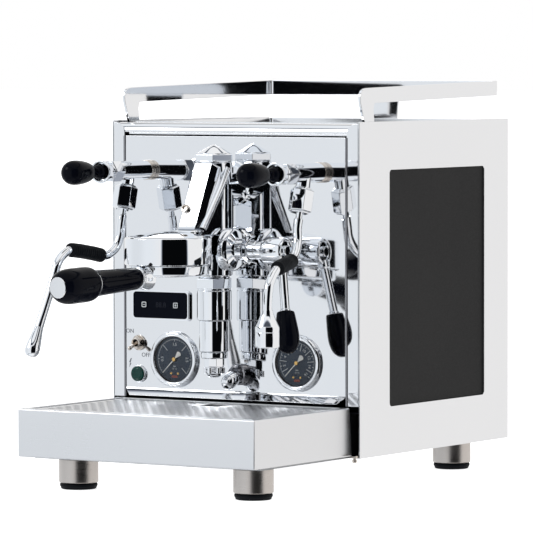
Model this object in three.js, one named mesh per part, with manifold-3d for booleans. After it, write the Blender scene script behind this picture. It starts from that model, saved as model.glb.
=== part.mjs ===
// Two-boiler espresso machine with a lever group, in millimetres, +Z up.
// X runs to the right of a person facing the machine, Y runs towards the wall.
// Drafted with the front panel on y = 0 and the floor on z = 0; the finished group
// is moved so that its origin is the middle of the footprint, on the floor.
import * as THREE from 'three';
import { mergeVertices } from 'three/addons/utils/BufferGeometryUtils.js';
import Module from 'manifold-3d';

const wasm = await Module();
wasm.setup();

// ---------------------------------------------------------------- driving dimensions
const GAP = 0.3; // clearance left between two pieces that touch
const SIDES = 24; // facets of a large round piece
const SMALL_SIDES = 12; // facets of a small round piece

const CASE = { halfWidth: 150, depth: 300, bottom: 32, top: 369, sheet: 1.5 };
const FRAME = { inner: 134.7, outer: 148.2, bottom: 84, top: 367, bandBottom: 353.7, bend: 10, sheet: 2 };
const PANEL = { halfWidth: 134.4, bottom: 93, top: 353.4, sheet: 1.5, lipDrop: 7, lipOut: 6 };
const INSET = { y0: 58, y1: 248, z0: 81, z1: 320, corner: 4, lap: 4 };
const TOP = { z: 364, sheet: 1.6, y0: 14.3, openX: 130, openY0: 28, openY1: 276 };
const CUP_TRAY = { halfWidth: 139, y0: 18, y1: 284, sheet: 1.7 };
const RAIL = {
  out: 144.5, sheet: 3, front: 10.6, back: 290, corner: 9,
  low: 387, high: 402.5, lowBack: 393, highBack: 408.5,
};
const RAIL_BRACKET = { foot: 19, top: 22 }; // half widths
const FOOT = { radius: 20, height: 31.7, pad: 6, padRadius: 19 };
const FOOT_SPOTS = {
  front_left: [-105, -126],
  front_right: [105, -126],
  rear_left: [-101, 264],
  rear_right: [101, 264],
};
const TRAY = { halfWidth: 141, front: -180, back: 40, bottom: 34.4, top: 83, wall: 1.6, rim: 9, ledge: 4 };
const GRID = { halfWidth: 131.5, front: -170.5, back: -8.5, sheet: 2, hole: 12.5, holeY: -37 };
const DISPLAY = { x0: -124, x1: -53, z0: 164, z1: 195, front: -3.4, corner: 4 };
const KEY = { size: 6, well: 6.8, proud: 0.6, depth: 2.6, x: [-108.5, -69.5], z: 179.8 };
const GAUGE = { radius: 29, front: -4.8, dial: -0.9, mouth: 23.8 };
const GAUGE_SPOTS = { boiler: [-72.5, 124.3], pump: [76.3, 125.7] };
const GAUGE_REST = THREE.MathUtils.degToRad(225);
const SWITCH = { x: -117, z: 140, pivot: -4, reach: 16, droop: 20 };
const LAMP = { x: -117, z: 108, front: -5.5, radius: 7.8 };
const VALVE = { x: 105, z: 318.3, radius: 10, rim: -87, ball: 7.4 };
const NUT = { lean: THREE.MathUtils.degToRad(14), bottom: [-43.5, 278.5], across: 21, length: 26 };
const WAND = { radius: 4.8, grip: 7.2, ball: 7.2, neck: 4, start: -6, steps: 26 };
const GROUP = { y: -36.5, bellY: -119.5, bellRadius: 43.5, bellBottom: 228.3, bellTop: 255.5, top: 328.2 };
const LEVER = { y: -36.5, z: 240.5 };
const FILTER = { swing: THREE.MathUtils.degToRad(-5), low: 217.3, high: 240, radius: 35, bore: 30.6 };

// ---------------------------------------------------------------- solid helpers
function signedVolume(positions, indices) {
  const [a, b, c] = [new THREE.Vector3(), new THREE.Vector3(), new THREE.Vector3()];
  let volume = 0;
  for (let i = 0; i < indices.length; i += 3) {
    a.fromArray(positions, indices[i] * 3);
    b.fromArray(positions, indices[i + 1] * 3);
    c.fromArray(positions, indices[i + 2] * 3);
    volume += a.dot(b.cross(c)) / 6;
  }
  return volume;
}

// Turns a closed three.js geometry into a solid that can be cut and joined.
function solid(geometry) {
  const plain = geometry.clone();
  plain.deleteAttribute('normal');
  plain.deleteAttribute('uv');
  const merged = mergeVertices(plain, 1e-4);
  const positions = Float32Array.from(merged.attributes.position.array);
  const kept = [];
  for (let i = 0; i < merged.index.count; i += 3) {
    const [a, b, c] = [0, 1, 2].map((k) => merged.index.getX(i + k));
    if (a !== b && b !== c && c !== a) kept.push(a, b, c);
  }
  if (signedVolume(positions, kept) < 0) kept.reverse();
  const triVerts = Uint32Array.from(kept);
  return new wasm.Manifold(new wasm.Mesh({ numProp: 3, vertProperties: positions, triVerts }));
}

function toGeometry(shape) {
  const mesh = shape.getMesh();
  const geometry = new THREE.BufferGeometry();
  geometry.setAttribute('position', new THREE.BufferAttribute(Float32Array.from(mesh.vertProperties), 3));
  geometry.setIndex(Array.from(mesh.triVerts));
  geometry.computeVertexNormals();
  return geometry;
}

const join = (...shapes) => shapes.reduce((whole, shape) => whole.add(shape));
const cut = (whole, ...tools) => tools.reduce((rest, tool) => rest.subtract(tool), whole);

// A block between two opposite corners.
function block(low, high) {
  const size = low.map((value, i) => high[i] - value);
  const middle = low.map((value, i) => (value + high[i]) / 2);
  return solid(new THREE.BoxGeometry(...size).translate(...middle));
}

const AXIS_FRAMES = {
  x: [new THREE.Vector3(0, 1, 0), new THREE.Vector3(0, 0, 1), new THREE.Vector3(1, 0, 0)],
  y: [new THREE.Vector3(0, 0, 1), new THREE.Vector3(1, 0, 0), new THREE.Vector3(0, 1, 0)],
  z: [new THREE.Vector3(1, 0, 0), new THREE.Vector3(0, 1, 0), new THREE.Vector3(0, 0, 1)],
};

// An outline pushed along an axis. Outline coordinates are (y, z), (z, x) or (x, y).
function slab(axis, outline, from, to, bevel = 0) {
  const isShape = outline instanceof THREE.Shape;
  const shape = isShape ? outline : new THREE.Shape(outline.map(([u, v]) => new THREE.Vector2(u, v)));
  const options = { depth: to - from - 2 * bevel, steps: 1, curveSegments: 3, bevelEnabled: bevel > 0 };
  Object.assign(options, { bevelThickness: bevel, bevelSize: bevel, bevelOffset: -bevel, bevelSegments: 1 });
  const geometry = new THREE.ExtrudeGeometry(shape, options).translate(0, 0, from + bevel);
  return solid(geometry.applyMatrix4(new THREE.Matrix4().makeBasis(...AXIS_FRAMES[axis])));
}

function roundedOutline(u0, v0, u1, v1, radius) {
  const shape = new THREE.Shape();
  shape.moveTo(u0 + radius, v0);
  shape.lineTo(u1 - radius, v0);
  shape.absarc(u1 - radius, v0 + radius, radius, -Math.PI / 2, 0);
  shape.lineTo(u1, v1 - radius);
  shape.absarc(u1 - radius, v1 - radius, radius, 0, Math.PI / 2);
  shape.lineTo(u0 + radius, v1);
  shape.absarc(u0 + radius, v1 - radius, radius, Math.PI / 2, Math.PI);
  shape.lineTo(u0, v0 + radius);
  shape.absarc(u0 + radius, v0 + radius, radius, Math.PI, 1.5 * Math.PI);
  return shape;
}

// Turned piece: profile points are [radius, distance along the axis] from start towards the direction.
function turned(profile, start, direction, sides = SIDES) {
  const points = profile.map(([radius, along]) => new THREE.Vector2(radius, along));
  const geometry = new THREE.LatheGeometry(points, sides);
  const axis = new THREE.Vector3(...direction).normalize();
  const turn = new THREE.Quaternion().setFromUnitVectors(new THREE.Vector3(0, 1, 0), axis);
  return solid(geometry.applyQuaternion(turn).translate(...start));
}

const UP = [0, 0, 1];
const FORWARD = [0, -1, 0];
const BACK = [0, 1, 0];
const RIGHT = [1, 0, 0];

// Solid round bar with a constant radius.
const bar = (radius, length, start, direction, sides = SMALL_SIDES) =>
  turned([[0, 0], [radius, 0], [radius, length], [0, length]], start, direction, sides);
// Hexagonal bar, measured across its flats.
const hexBar = (across, length, start, direction) => bar(across / Math.sqrt(3), length, start, direction, 6);

// Profile of a ball from its lower pole up to a given height, with the poles exactly on the axis.
function ballProfile(radius, top = radius, steps = 8) {
  const points = [];
  for (let i = 0; i <= steps; i += 1) {
    const angle = THREE.MathUtils.lerp(-Math.PI / 2, Math.asin(top / radius), i / steps);
    const onPole = i === 0 || (i === steps && top === radius);
    points.push([onPole ? 0 : radius * Math.cos(angle), radius * Math.sin(angle)]);
  }
  return points;
}
const ball = (radius, centre) => turned(ballProfile(radius), centre, UP, SMALL_SIDES);

// A bent round bar along a smooth curve.
function bentBar(curve, radius, steps, sides = 8) {
  const shape = new THREE.Shape().absarc(0, 0, radius, 0, 2 * Math.PI);
  const ring = shape.getSpacedPoints(sides).slice(0, sides);
  const options = { steps, bevelEnabled: false, extrudePath: curve };
  return solid(new THREE.ExtrudeGeometry(new THREE.Shape(ring), options));
}
const smooth = (points) =>
  new THREE.CatmullRomCurve3(points.map((p) => new THREE.Vector3(...p)), false, 'centripetal');

// ---------------------------------------------------------------- materials
const finish = (color, roughness, metalness) =>
  new THREE.MeshStandardMaterial({ color, roughness, metalness });
const MATERIALS = {
  mirror: finish(0xe8eaec, 0.04, 1),
  polished: finish(0xdfe1e3, 0.12, 1),
  satin: finish(0xc4c5c7, 0.35, 1),
  brushed: finish(0xa9a39b, 0.4, 1),
  chrome: finish(0xe6e8ea, 0.05, 1),
  anthracite: finish(0x2f3031, 0.45, 0.3),
  black: finish(0x101114, 0.18, 0),
  rubber: finish(0x141414, 0.8, 0),
  screen: finish(0x05070c, 0.08, 0),
  dial: finish(0x2a323c, 0.6, 0),
  needle: finish(0xf2f2ee, 0.5, 0),
  lens: finish(0x0c5a3c, 0.15, 0),
  galvanised: finish(0x8f9396, 0.5, 0.8),
  brass: finish(0xb08d4c, 0.35, 1),
  tank: finish(0xd8dde0, 0.3, 0),
};

const group = new THREE.Group();
function add(name, shape, material) {
  const mesh = new THREE.Mesh(toGeometry(shape), MATERIALS[material]);
  mesh.name = name;
  group.add(mesh);
}

// ---------------------------------------------------------------- casing
function buildCasing() {
  const { halfWidth: half, depth, bottom, top, sheet } = CASE;
  const inside = half - sheet - GAP;
  const base = join(
    block([-inside, 3, bottom], [inside, depth - 3, bottom + 2]),
    block([-135, -160, bottom], [135, 3.5, bottom + 2]),
    block([-inside, 3, bottom], [-inside + 1.5, depth - 3, 62]),
    block([inside - 1.5, 3, bottom], [inside, depth - 3, 62]),
  );
  add('chassis_base', base, 'galvanised');

  const { inner, outer, bend, bandBottom, sheet: thick } = FRAME;
  const front = new THREE.Shape();
  front.moveTo(0, bandBottom);
  front.lineTo(0, FRAME.top - bend);
  front.absarc(bend, FRAME.top - bend, bend, Math.PI, Math.PI / 2, true);
  front.lineTo(TOP.y0 - GAP, FRAME.top);
  front.lineTo(TOP.y0 - GAP, FRAME.top - thick);
  front.absarc(bend, FRAME.top - bend, bend - thick, Math.PI / 2, Math.PI, false);
  front.lineTo(thick, bandBottom);
  const frame = join(
    slab('x', front, -outer, outer),
    block([-outer, 0, FRAME.bottom], [-inner, thick, bandBottom + 1]),
    block([inner, 0, FRAME.bottom], [outer, thick, bandBottom + 1]),
  );
  add('body_frame', frame, 'mirror');

  const lip = PANEL.sheet;
  const lipEnd = PANEL.bottom - PANEL.lipDrop;
  const panelOutline = [
    [0, PANEL.top], [0, PANEL.bottom], [-PANEL.lipOut, lipEnd],
    [-PANEL.lipOut + lip, lipEnd - lip * 0.5], [lip, PANEL.bottom - lip * 0.6], [lip, PANEL.top],
  ];
  add('front_panel', slab('x', panelOutline, -PANEL.halfWidth, PANEL.halfWidth), 'mirror');

  for (const [side, sign] of [['left', -1], ['right', 1]]) {
    const [a, b] = [sign * half, sign * (half - sheet)].sort((p, q) => p - q);
    const { y0, y1, z0, z1, corner, lap } = INSET;
    const opening = slab('x', roundedOutline(y0, z0, y1, z1, corner), a - 5, b + 5);
    add(`side_panel_${side}`, cut(block([a, 0, bottom], [b, depth - 1.8, top]), opening), 'polished');
    const [c, d] = [sign * (half - sheet - GAP), sign * (half - sheet - GAP - 1.2)].sort((p, q) => p - q);
    const inset = roundedOutline(y0 - lap, z0 - lap, y1 + lap, z1 + lap, corner);
    add(`side_inset_${side}`, slab('x', inset, c, d), 'anthracite');
  }

  const slots = [];
  for (let row = 0; row < 2; row += 1) {
    for (let i = 0; i < 9; i += 1) {
      const x = (i - 4) * 14;
      slots.push(block([x - 2, depth - 5, 232 + row * 56], [x + 2, depth + 5, 276 + row * 56]));
    }
  }
  const rear = cut(block([-outer, depth - 1.5, bottom], [outer, depth, 366]), ...slots,
    block([62, depth - 5, 56], [98, depth + 5, 84]));
  add('rear_panel', rear, 'satin');

  const topFrame = cut(
    block([-outer, TOP.y0, TOP.z - TOP.sheet], [outer, depth - 1.8, TOP.z]),
    block([-TOP.openX, TOP.openY0, TOP.z - 5], [TOP.openX, TOP.openY1, TOP.z + 5]),
  );
  add('top_frame', topFrame, 'satin');
  const low = TOP.z + GAP;
  const cupTray = join(
    block([-CUP_TRAY.halfWidth, CUP_TRAY.y0, low], [CUP_TRAY.halfWidth, CUP_TRAY.y1, low + CUP_TRAY.sheet]),
    block([-TOP.openX + 1, TOP.openY0 + 1, low - 5], [-TOP.openX + 2.5, TOP.openY1 - 1, low + 1]),
    block([TOP.openX - 2.5, TOP.openY0 + 1, low - 5], [TOP.openX - 1, TOP.openY1 - 1, low + 1]),
  );
  add('cup_tray', cupTray, 'satin');
}

// Low fence round the cup tray: a bent strip standing on two front legs and a middle bracket.
function buildRail() {
  const foot = TOP.z + GAP;
  const { corner } = RAIL;
  const side = new THREE.Shape();
  side.moveTo(21, foot);
  side.lineTo(38, foot);
  side.lineTo(35.5, RAIL.low);
  side.lineTo(RAIL.back, RAIL.lowBack);
  side.lineTo(RAIL.back, RAIL.highBack);
  side.lineTo(RAIL.front + corner + 4, RAIL.high);
  side.quadraticCurveTo(RAIL.front + 1, RAIL.high, RAIL.front, RAIL.high - corner);
  side.quadraticCurveTo(RAIL.front + 1, RAIL.low - 2, 21, foot);
  const inner = RAIL.out - RAIL.sheet;
  const joint = RAIL.lowBack + 1;
  const { foot: low, top: wide } = RAIL_BRACKET;
  const bracket = [[foot, -low], [foot, low], [joint, wide], [joint, -wide]];
  const rail = join(
    slab('x', side, -RAIL.out, -inner),
    slab('x', side, inner, RAIL.out),
    block([-RAIL.out, RAIL.back - RAIL.sheet, RAIL.lowBack], [RAIL.out, RAIL.back, RAIL.highBack]),
    slab('y', bracket, RAIL.back - RAIL.sheet, RAIL.back),
  );
  add('cup_rail', rail, 'mirror');
}

function buildFeet() {
  for (const [spot, [x, y]] of Object.entries(FOOT_SPOTS)) {
    const shank = bar(FOOT.radius, FOOT.height - FOOT.pad - GAP, [x, y, FOOT.pad + GAP], UP, SIDES);
    add(`foot_${spot}`, shank, 'brushed');
    const { padRadius: r, pad } = FOOT;
    add(`foot_pad_${spot}`, turned([[0, 0], [r - 1, 0], [r, 1], [r, pad], [0, pad]], [x, y, 0], UP), 'rubber');
  }
}

// ---------------------------------------------------------------- drip tray
function buildDripTray() {
  const { halfWidth: w, front, back, bottom, top, wall, rim, ledge } = TRAY;
  const tray = cut(
    block([-w, front, bottom], [w, back, top]),
    block([-w + wall, front + wall, bottom + wall], [w - wall, back - wall, top - 4.5]),
    block([-w + rim + ledge, front + rim + ledge, top - 5], [w - rim - ledge, -12, top + 1]),
    block([-w + rim, front + rim, top - 3], [w - rim, -8, top + 1]),
  );
  add('drip_tray', tray, 'satin');

  const z0 = top - 3 + GAP;
  const slots = [];
  const pitch = { x: 26, y: 16 };
  for (let row = 0; row < 10; row += 1) {
    const y = GRID.front + 11.5 + row * pitch.y;
    const count = row % 2 ? 9 : 10;
    for (let i = 0; i < count; i += 1) {
      const x = (i - (count - 1) / 2) * pitch.x;
      const nearHole = Math.abs(x) < GRID.hole + 11 && Math.abs(y - GRID.holeY) < GRID.hole + 6;
      if (!nearHole) slots.push(block([x - 8.5, y - 3, z0 - 1], [x + 8.5, y + 3, z0 + 4]));
    }
  }
  const { hole: half, holeY } = GRID;
  const hole = block([-half, holeY - half, z0 - 1], [half, holeY + half, z0 + 4]);
  const plate = block([-GRID.halfWidth, GRID.front, z0], [GRID.halfWidth, GRID.back, z0 + GRID.sheet]);
  add('drip_grid', cut(plate, ...slots, hole), 'satin');
}

// ---------------------------------------------------------------- front controls
function buildDisplay() {
  const { x0, x1, z0, z1, front, corner } = DISPLAY;
  const wells = KEY.x.map((x) => block([x - KEY.well / 2, front - 1, KEY.z - KEY.well / 2],
    [x + KEY.well / 2, front + KEY.depth, KEY.z + KEY.well / 2]));
  const housing = slab('y', roundedOutline(z0, x0, z1, x1, corner), front, -GAP);
  add('display_housing', cut(housing, ...wells), 'screen');
  const half = KEY.size / 2;
  for (const [name, x] of [['button_minus', KEY.x[0]], ['button_plus', KEY.x[1]]]) {
    const outline = roundedOutline(KEY.z - half, x - half, KEY.z + half, x + half, 1.2);
    add(name, slab('y', outline, front - KEY.proud, front + KEY.depth - 1), 'screen');
  }
}

function buildGauge(name, [x, z]) {
  const { radius, front, dial, mouth } = GAUGE;
  const profile = [
    [0, GAP], [radius - 0.8, GAP], [radius, 1.2], [radius, -front - 1.6], [radius - 1.4, -front],
    [mouth + 0.8, -front], [mouth, -front - 1.2], [mouth, -dial], [0, -dial],
  ];
  add(`${name}_gauge_case`, turned(profile, [x, 0, z], FORWARD), 'chrome');
  const blade = [[-0.9, -6], [0, -6.6], [0.9, -6], [0.5, 21], [0, 22], [-0.5, 21]];
  const needle = join(
    slab('y', blade.map(([u, v]) => [v, u]), -0.5, 0.5),
    bar(2.6, 1.8, [0, 0.7, 0], FORWARD, SMALL_SIDES),
  );
  const mesh = new THREE.Mesh(toGeometry(needle), MATERIALS.needle);
  mesh.name = `${name}_gauge_needle`;
  mesh.position.set(x, dial - 1.1, z);
  mesh.rotation.y = GAUGE_REST;
  group.add(mesh);
}

function buildSwitchAndLamp() {
  const base = cut(
    join(
      bar(8, 1.7, [SWITCH.x, -GAP, SWITCH.z], FORWARD, SIDES),
      hexBar(12, 3, [SWITCH.x, -1.8, SWITCH.z], FORWARD),
      bar(5.2, 7.4, [SWITCH.x, -GAP, SWITCH.z], FORWARD),
    ),
    turned([[0, 2.2], [3.6, 2.2], [3.6, 10], [0, 10]], [SWITCH.x, 0, SWITCH.z], FORWARD, SMALL_SIDES),
  );
  add('power_switch_base', base, 'chrome');
  const tip = SWITCH.reach;
  const leverProfile = [
    [0, -1.5], [1.4, -1.2], [1.3, 3], [2, tip - 3], [2.2, tip - 1], [1.5, tip], [0, tip + 0.3],
  ];
  const droop = THREE.MathUtils.degToRad(SWITCH.droop);
  const direction = [0, -Math.cos(droop), -Math.sin(droop)];
  const pivot = [SWITCH.x, SWITCH.pivot, SWITCH.z];
  add('power_switch_lever', turned(leverProfile, pivot, direction, 14), 'chrome');
  const lamp = [
    [0, GAP], [9, GAP], [9, 2.4], [LAMP.radius, 3], [LAMP.radius, 4], [5.5, 5.1], [0, -LAMP.front],
  ];
  add('pilot_lamp', turned(lamp, [LAMP.x, 0, LAMP.z], FORWARD), 'lens');
}

// ---------------------------------------------------------------- steam and hot water valves
function nutFrame(sign) {
  const x = sign * (VALVE.x + 1.5);
  const [y, z] = NUT.bottom;
  const up = [0, Math.sin(NUT.lean), Math.cos(NUT.lean)];
  const along = (distance) => [x, y + up[1] * distance, z + up[2] * distance];
  return { x, up, along };
}

function buildValve(name, sign) {
  const x = sign * VALVE.x;
  const { up, along } = nutFrame(sign);
  const reach = -VALVE.rim;
  const barrel = [
    [0, GAP], [10.3, GAP], [10.3, 7], [VALVE.radius, 8], [VALVE.radius, 57], [11, 59], [11, 72],
    [10.3, 75], [11.8, reach - 2], [11.3, reach], [0, reach],
  ];
  const socketProfile = [[0, -9], [5, -7.5], [8, -4], [8.2, 0], [9.4, 12], [0, 12]];
  const socket = turned(socketProfile, [x, VALVE.rim + 1, VALVE.z], FORWARD);
  const outlet = bar(7.2, 18, along(NUT.length + GAP), up);
  add(`${name}_valve_body`, cut(join(turned(barrel, [x, 0, VALVE.z], FORWARD), outlet), socket), 'chrome');

  const knob = [
    ...ballProfile(VALVE.ball, 6, 6), [4.6, 8.5], [6.6, 13.5], [9.6, 22], [11.7, 33], [12.3, 41],
    [12.2, 46.6], [10.7, 51.4], [8, 54.6], [4.4, 56.8], [0, 57.6],
  ];
  add(`${name}_joystick`, turned(knob, [x, VALVE.rim - 1, VALVE.z], FORWARD, 24), 'black');

  const bore = [[0, -1], [6.8, -1], [6.8, 3.5], [7.7, 4.5], [7.7, 19], [0, 21]];
  const nut = cut(
    join(hexBar(NUT.across, NUT.length - 3, along(1.5), up), bar(9.6, NUT.length, along(0), up)),
    turned(bore, along(0), up, SMALL_SIDES),
  );
  add(`${name}_wand_nut`, nut, 'chrome');
}

function buildWand(name, sign, bends, gripSpan, end) {
  const { up, along } = nutFrame(sign);
  const centre = along(11.5);
  // the ball seats in the nut; the tube starts just below it
  const down = up.map((v) => -v);
  const collar = join(ball(WAND.ball, centre), bar(WAND.neck, 11.5 - WAND.start - GAP, centre, down));
  add(`${name}_wand_ball`, collar, 'chrome');
  const outward = bends.map(([bx, by, bz]) => [sign * bx, by, bz]);
  const route = [along(WAND.start), along(WAND.start - 10), ...outward];
  const curve = smooth(route);
  const grip = smooth(curve.getSpacedPoints(60).slice(...gripSpan).map((p) => p.toArray()));
  const gripSteps = 7;
  const core = bentBar(curve, WAND.radius, WAND.steps);
  add(`${name}_wand`, join(core, end(curve.getPoint(1), curve.getTangent(1).toArray())), 'chrome');
  const sleeve = cut(bentBar(grip, WAND.grip, gripSteps), bentBar(curve, WAND.radius + 0.5, WAND.steps));
  add(`${name}_wand_grip`, sleeve, 'rubber');
}

// ---------------------------------------------------------------- brew group
function buildGroup() {
  const { y, bellY, bellRadius: r, bellBottom: z0, bellTop: z1, top } = GROUP;
  const neckOutline = [[-20, top], [-55, top], [-67.5, 302], [-86, 263], [-91, 251], [-20, 251]];
  const bellProfile = [
    [0, 0], [r - 1, 0], [r, 1], [r, z1 - z0 - 1], [r - 1, z1 - z0], [30, 30], [18, 32], [0, 33],
  ];
  const head = join(
    slab('x', neckOutline, -15, 15, 5),
    bar(18.5, top - 213, [0, y, 213], UP, SIDES),
    turned(bellProfile, [0, bellY, z0], UP, 32),
    bar(19, -y - GAP, [0, -GAP, 306], FORWARD, SIDES),
    bar(19, -y - GAP, [0, -GAP, 240], FORWARD, SIDES),
    block([-14, bellY + 20, 236], [14, y, 258]),
  );
  const shaftBore = bar(4.6, 26, [8, LEVER.y, LEVER.z], RIGHT);
  const filterSeat = bar(36, 23, [0, bellY, z0 - 1], UP, 32);
  add('group_head', cut(head, shaftBore, filterSeat), 'chrome');

  const cap = join(
    hexBar(36, 8.5, [0, y, top + GAP], UP),
    turned([[0, 0], [18.5, 0], [17.5, 2], [0, 9.3]], [0, y, top + GAP + 8], UP, 24),
  );
  add('group_cap', cap, 'chrome');

  const chamber = [
    [0, 0], [7.5, 0], [10, 10], [10, 19], [13.3, 19], [13.3, 26], [15.3, 26.5], [15.3, 57],
    [17.5, 58.5], [17.5, 90], [0, 90],
  ];
  const lower = join(turned(chamber, [0, y, 111], UP), hexBar(34, 11, [0, y, 200.5], UP));
  add('infusion_chamber', lower, 'chrome');

  const gasket = turned([[29, 0], [35.6, 0], [35.6, 7.6], [29, 7.6], [29, 0]], [0, bellY, 242.4], UP);
  add('group_gasket', gasket, 'rubber');
}

function buildBrewLever() {
  const at = (x) => [x, LEVER.y, LEVER.z];
  const bonnet = cut(
    join(
      turned([[0, 0], [20, 0], [20, 7], [17, 10], [10, 12], [8, 14], [8, 22], [0, 22]], at(19.5), RIGHT),
      hexBar(21, 7, at(38), RIGHT),
      bar(9.5, 16.7, at(45), RIGHT, 28),
    ),
    bar(4.6, 60, at(10), RIGHT),
  );
  add('lever_bonnet', bonnet, 'chrome');

  const hubProfile = [[0, 0], [12.5, 0], [13.5, 1], [13.5, 24], [12.3, 25.5], [7, 26], [0, 26]];
  const stemStart = new THREE.Vector3(83, -39, 228);
  const stemEnd = new THREE.Vector3(91.4, -45.9, 180.7);
  const stemAxis = stemEnd.clone().sub(stemStart);
  const lever = join(
    turned(hubProfile, at(62), RIGHT, 32),
    bar(4.2, 32, at(31), RIGHT),
    bar(3.1, 24, at(10), RIGHT),
    bar(4.6, stemAxis.length(), stemStart.toArray(), stemAxis.toArray()),
  );
  add('brew_lever', lever, 'chrome');

  const grip = [
    [0, 0], [8, 0], [9, 1.5], [10.8, 14], [12.1, 25], [11.9, 32], [10, 38], [6, 41.7], [0, 42.8],
  ];
  const gripStart = stemEnd.clone().addScaledVector(stemAxis.clone().normalize(), GAP);
  add('brew_lever_handle', turned(grip, gripStart.toArray(), stemAxis.toArray()), 'black');
}

function buildPortafilter() {
  const { low, high, radius, bore, swing } = FILTER;
  const centre = [0, GROUP.bellY, low];
  const out = [Math.sin(swing), -Math.cos(swing), -0.035];
  const along = (distance) => [out[0] * distance, GROUP.bellY + out[1] * distance, 218 + out[2] * distance];
  const ringProfile = [
    [bore, 0], [38.5, 0], [40.4, 2], [40.4, 10.6], [radius, 10.6],
    [radius, high - low], [bore, high - low], [bore, 0],
  ];
  const neck = [[0, 36], [10.6, 36], [10.6, 41], [9.6, 45], [9.4, 48], [10.5, 49.2], [10.5, 50.5], [0, 50.5]];
  const holder = cut(join(turned(ringProfile, centre, UP, 32), turned(neck, along(0), out, 20)),
    bar(bore, 40, [0, GROUP.bellY, low - 10], UP, 32));
  add('portafilter', holder, 'chrome');

  const grip = [
    [0, 0], [10.4, 0], [11, 4], [13.2, 66], [14, 70], [16.6, 82], [17.2, 96], [16.4, 108],
    [13, 115.5], [9.5, 118], [0, 118.6],
  ];
  add('portafilter_handle', turned(grip, along(50.8), out, SIDES), 'black');

  const cup = [
    [0, 0], [26, 0], [29.2, 3], [30, 20], [33.4, 20], [33.4, 21.3],
    [28.8, 21.3], [28, 4.2], [25.5, 1.2], [0, 1.2],
  ];
  add('filter_basket', turned(cup, [0, GROUP.bellY, high + GAP - 20], UP, 32), 'polished');
}

function buildDrain() {
  const nose = [[0, 0], [6, 0], [8, 3], [8.2, 10], [7.4, 15], [4, 18.5], [0, 19]];
  const spout = join(
    bar(11, 8, [9, -GAP, 112], FORWARD, SIDES),
    bar(7.5, 14, [9, -GAP, 112], FORWARD),
    turned(nose, [9, -12, 110.5], [-0.1, -1, -0.5]),
  );
  add('drain_spout', spout, 'chrome');
}

// ---------------------------------------------------------------- inside the casing
function buildInside() {
  const drum = (radius, length, dome) => [
    [0, 0], [radius * 0.7, dome * 0.3], [radius, dome],
    [radius, length - dome], [radius * 0.7, length - dome * 0.3], [0, length],
  ];
  const shell = (radius, length, dome, wall, start, axis) => {
    const port = start.map((value, i) => value + axis[i] * (length - 5));
    const inside = start.map((value, i) => value + axis[i] * wall);
    return cut(turned(drum(radius, length, dome), start, axis),
      turned(drum(radius - wall, length - 2 * wall, dome - wall / 2), inside, axis), bar(6, 10, port, axis));
  };
  add('steam_boiler', shell(58, 190, 14, 2, [-72, 150, 138], RIGHT), 'brass');
  add('brew_boiler', shell(42, 110, 10, 2, [0, 10, 274], BACK), 'brass');
  const pump = join(
    bar(26, 90, [-110, 60, 98], BACK, 28),
    block([-134, 64, 66.5], [-86, 120, 92]),
    bar(12, 24, [-110, 40, 98], BACK),
  );
  add('pump', pump, 'galvanised');
  const tank = block([-128, 212, 215], [128, 292, 345]);
  const water = block([-125.5, 214.5, 217.5], [125.5, 289.5, 350]);
  add('water_tank', cut(tank, water), 'tank');
  add('control_box', block([84, 20, 240], [138, 120, 335]), 'black');
  const inlet = cut(
    join(
      block([56, CASE.depth + GAP, 50], [104, CASE.depth + 3, 90]),
      block([63, CASE.depth - 22, 57], [97, CASE.depth + 2, 83]),
    ),
    block([67, CASE.depth - 18, 61], [93, CASE.depth + 5, 79]),
  );
  add('power_inlet', inlet, 'black');
}

// ---------------------------------------------------------------- whole machine
buildCasing();
buildRail();
buildFeet();
buildDripTray();
buildDisplay();
for (const [name, spot] of Object.entries(GAUGE_SPOTS)) buildGauge(name, spot);
buildSwitchAndLamp();
buildValve('steam', -1);
buildValve('water', 1);

// Bends of the two wands after the nut, as distances outwards from the middle, Y and Z.
const STEAM_BENDS = [
  [107.2, -48.5, 252], [108.5, -54, 240], [110.4, -67, 233], [112.5, -92, 236], [114, -113, 239],
  [115.3, -128, 239.5], [116.5, -143, 230], [117.7, -154, 205], [119.2, -171, 170], [120.2, -180, 150],
];
const WATER_BENDS = [
  [107.5, -48.5, 252], [109.8, -56, 240], [112.5, -68, 232.5], [117.5, -88, 229.5],
  [122, -111, 225], [124.6, -127, 212], [125, -131, 196], [125, -131.5, 184],
];
const steamTip = (end, direction) => {
  const profile = [[0, -2], [4.9, -2], [5.2, 0], [7.6, 7], [7.8, 10], [6.6, 14], [3.5, 16.6], [0, 17.3]];
  return turned(profile, end.toArray(), direction, SMALL_SIDES);
};
const waterTip = (end) => {
  const profile = [[0, -3], [5.4, -3], [5.6, 0], [11.5, 13], [12, 15], [12, 33], [11, 34], [0, 34]];
  return turned(profile, end.toArray(), [0, 0, -1], 28);
};
buildWand('steam', -1, STEAM_BENDS, [16, 31], steamTip);
buildWand('water', 1, WATER_BENDS, [20, 39], waterTip);
buildGroup();
buildBrewLever();
buildPortafilter();
buildDrain();
buildInside();

const bounds = new THREE.Box3().setFromObject(group, true);
group.position.set(-(bounds.min.x + bounds.max.x) / 2, -(bounds.min.y + bounds.max.y) / 2, -bounds.min.z);
group.updateMatrixWorld(true);

export default group;
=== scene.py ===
import math

import bmesh
import bpy
from mathutils import Matrix, Vector


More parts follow.
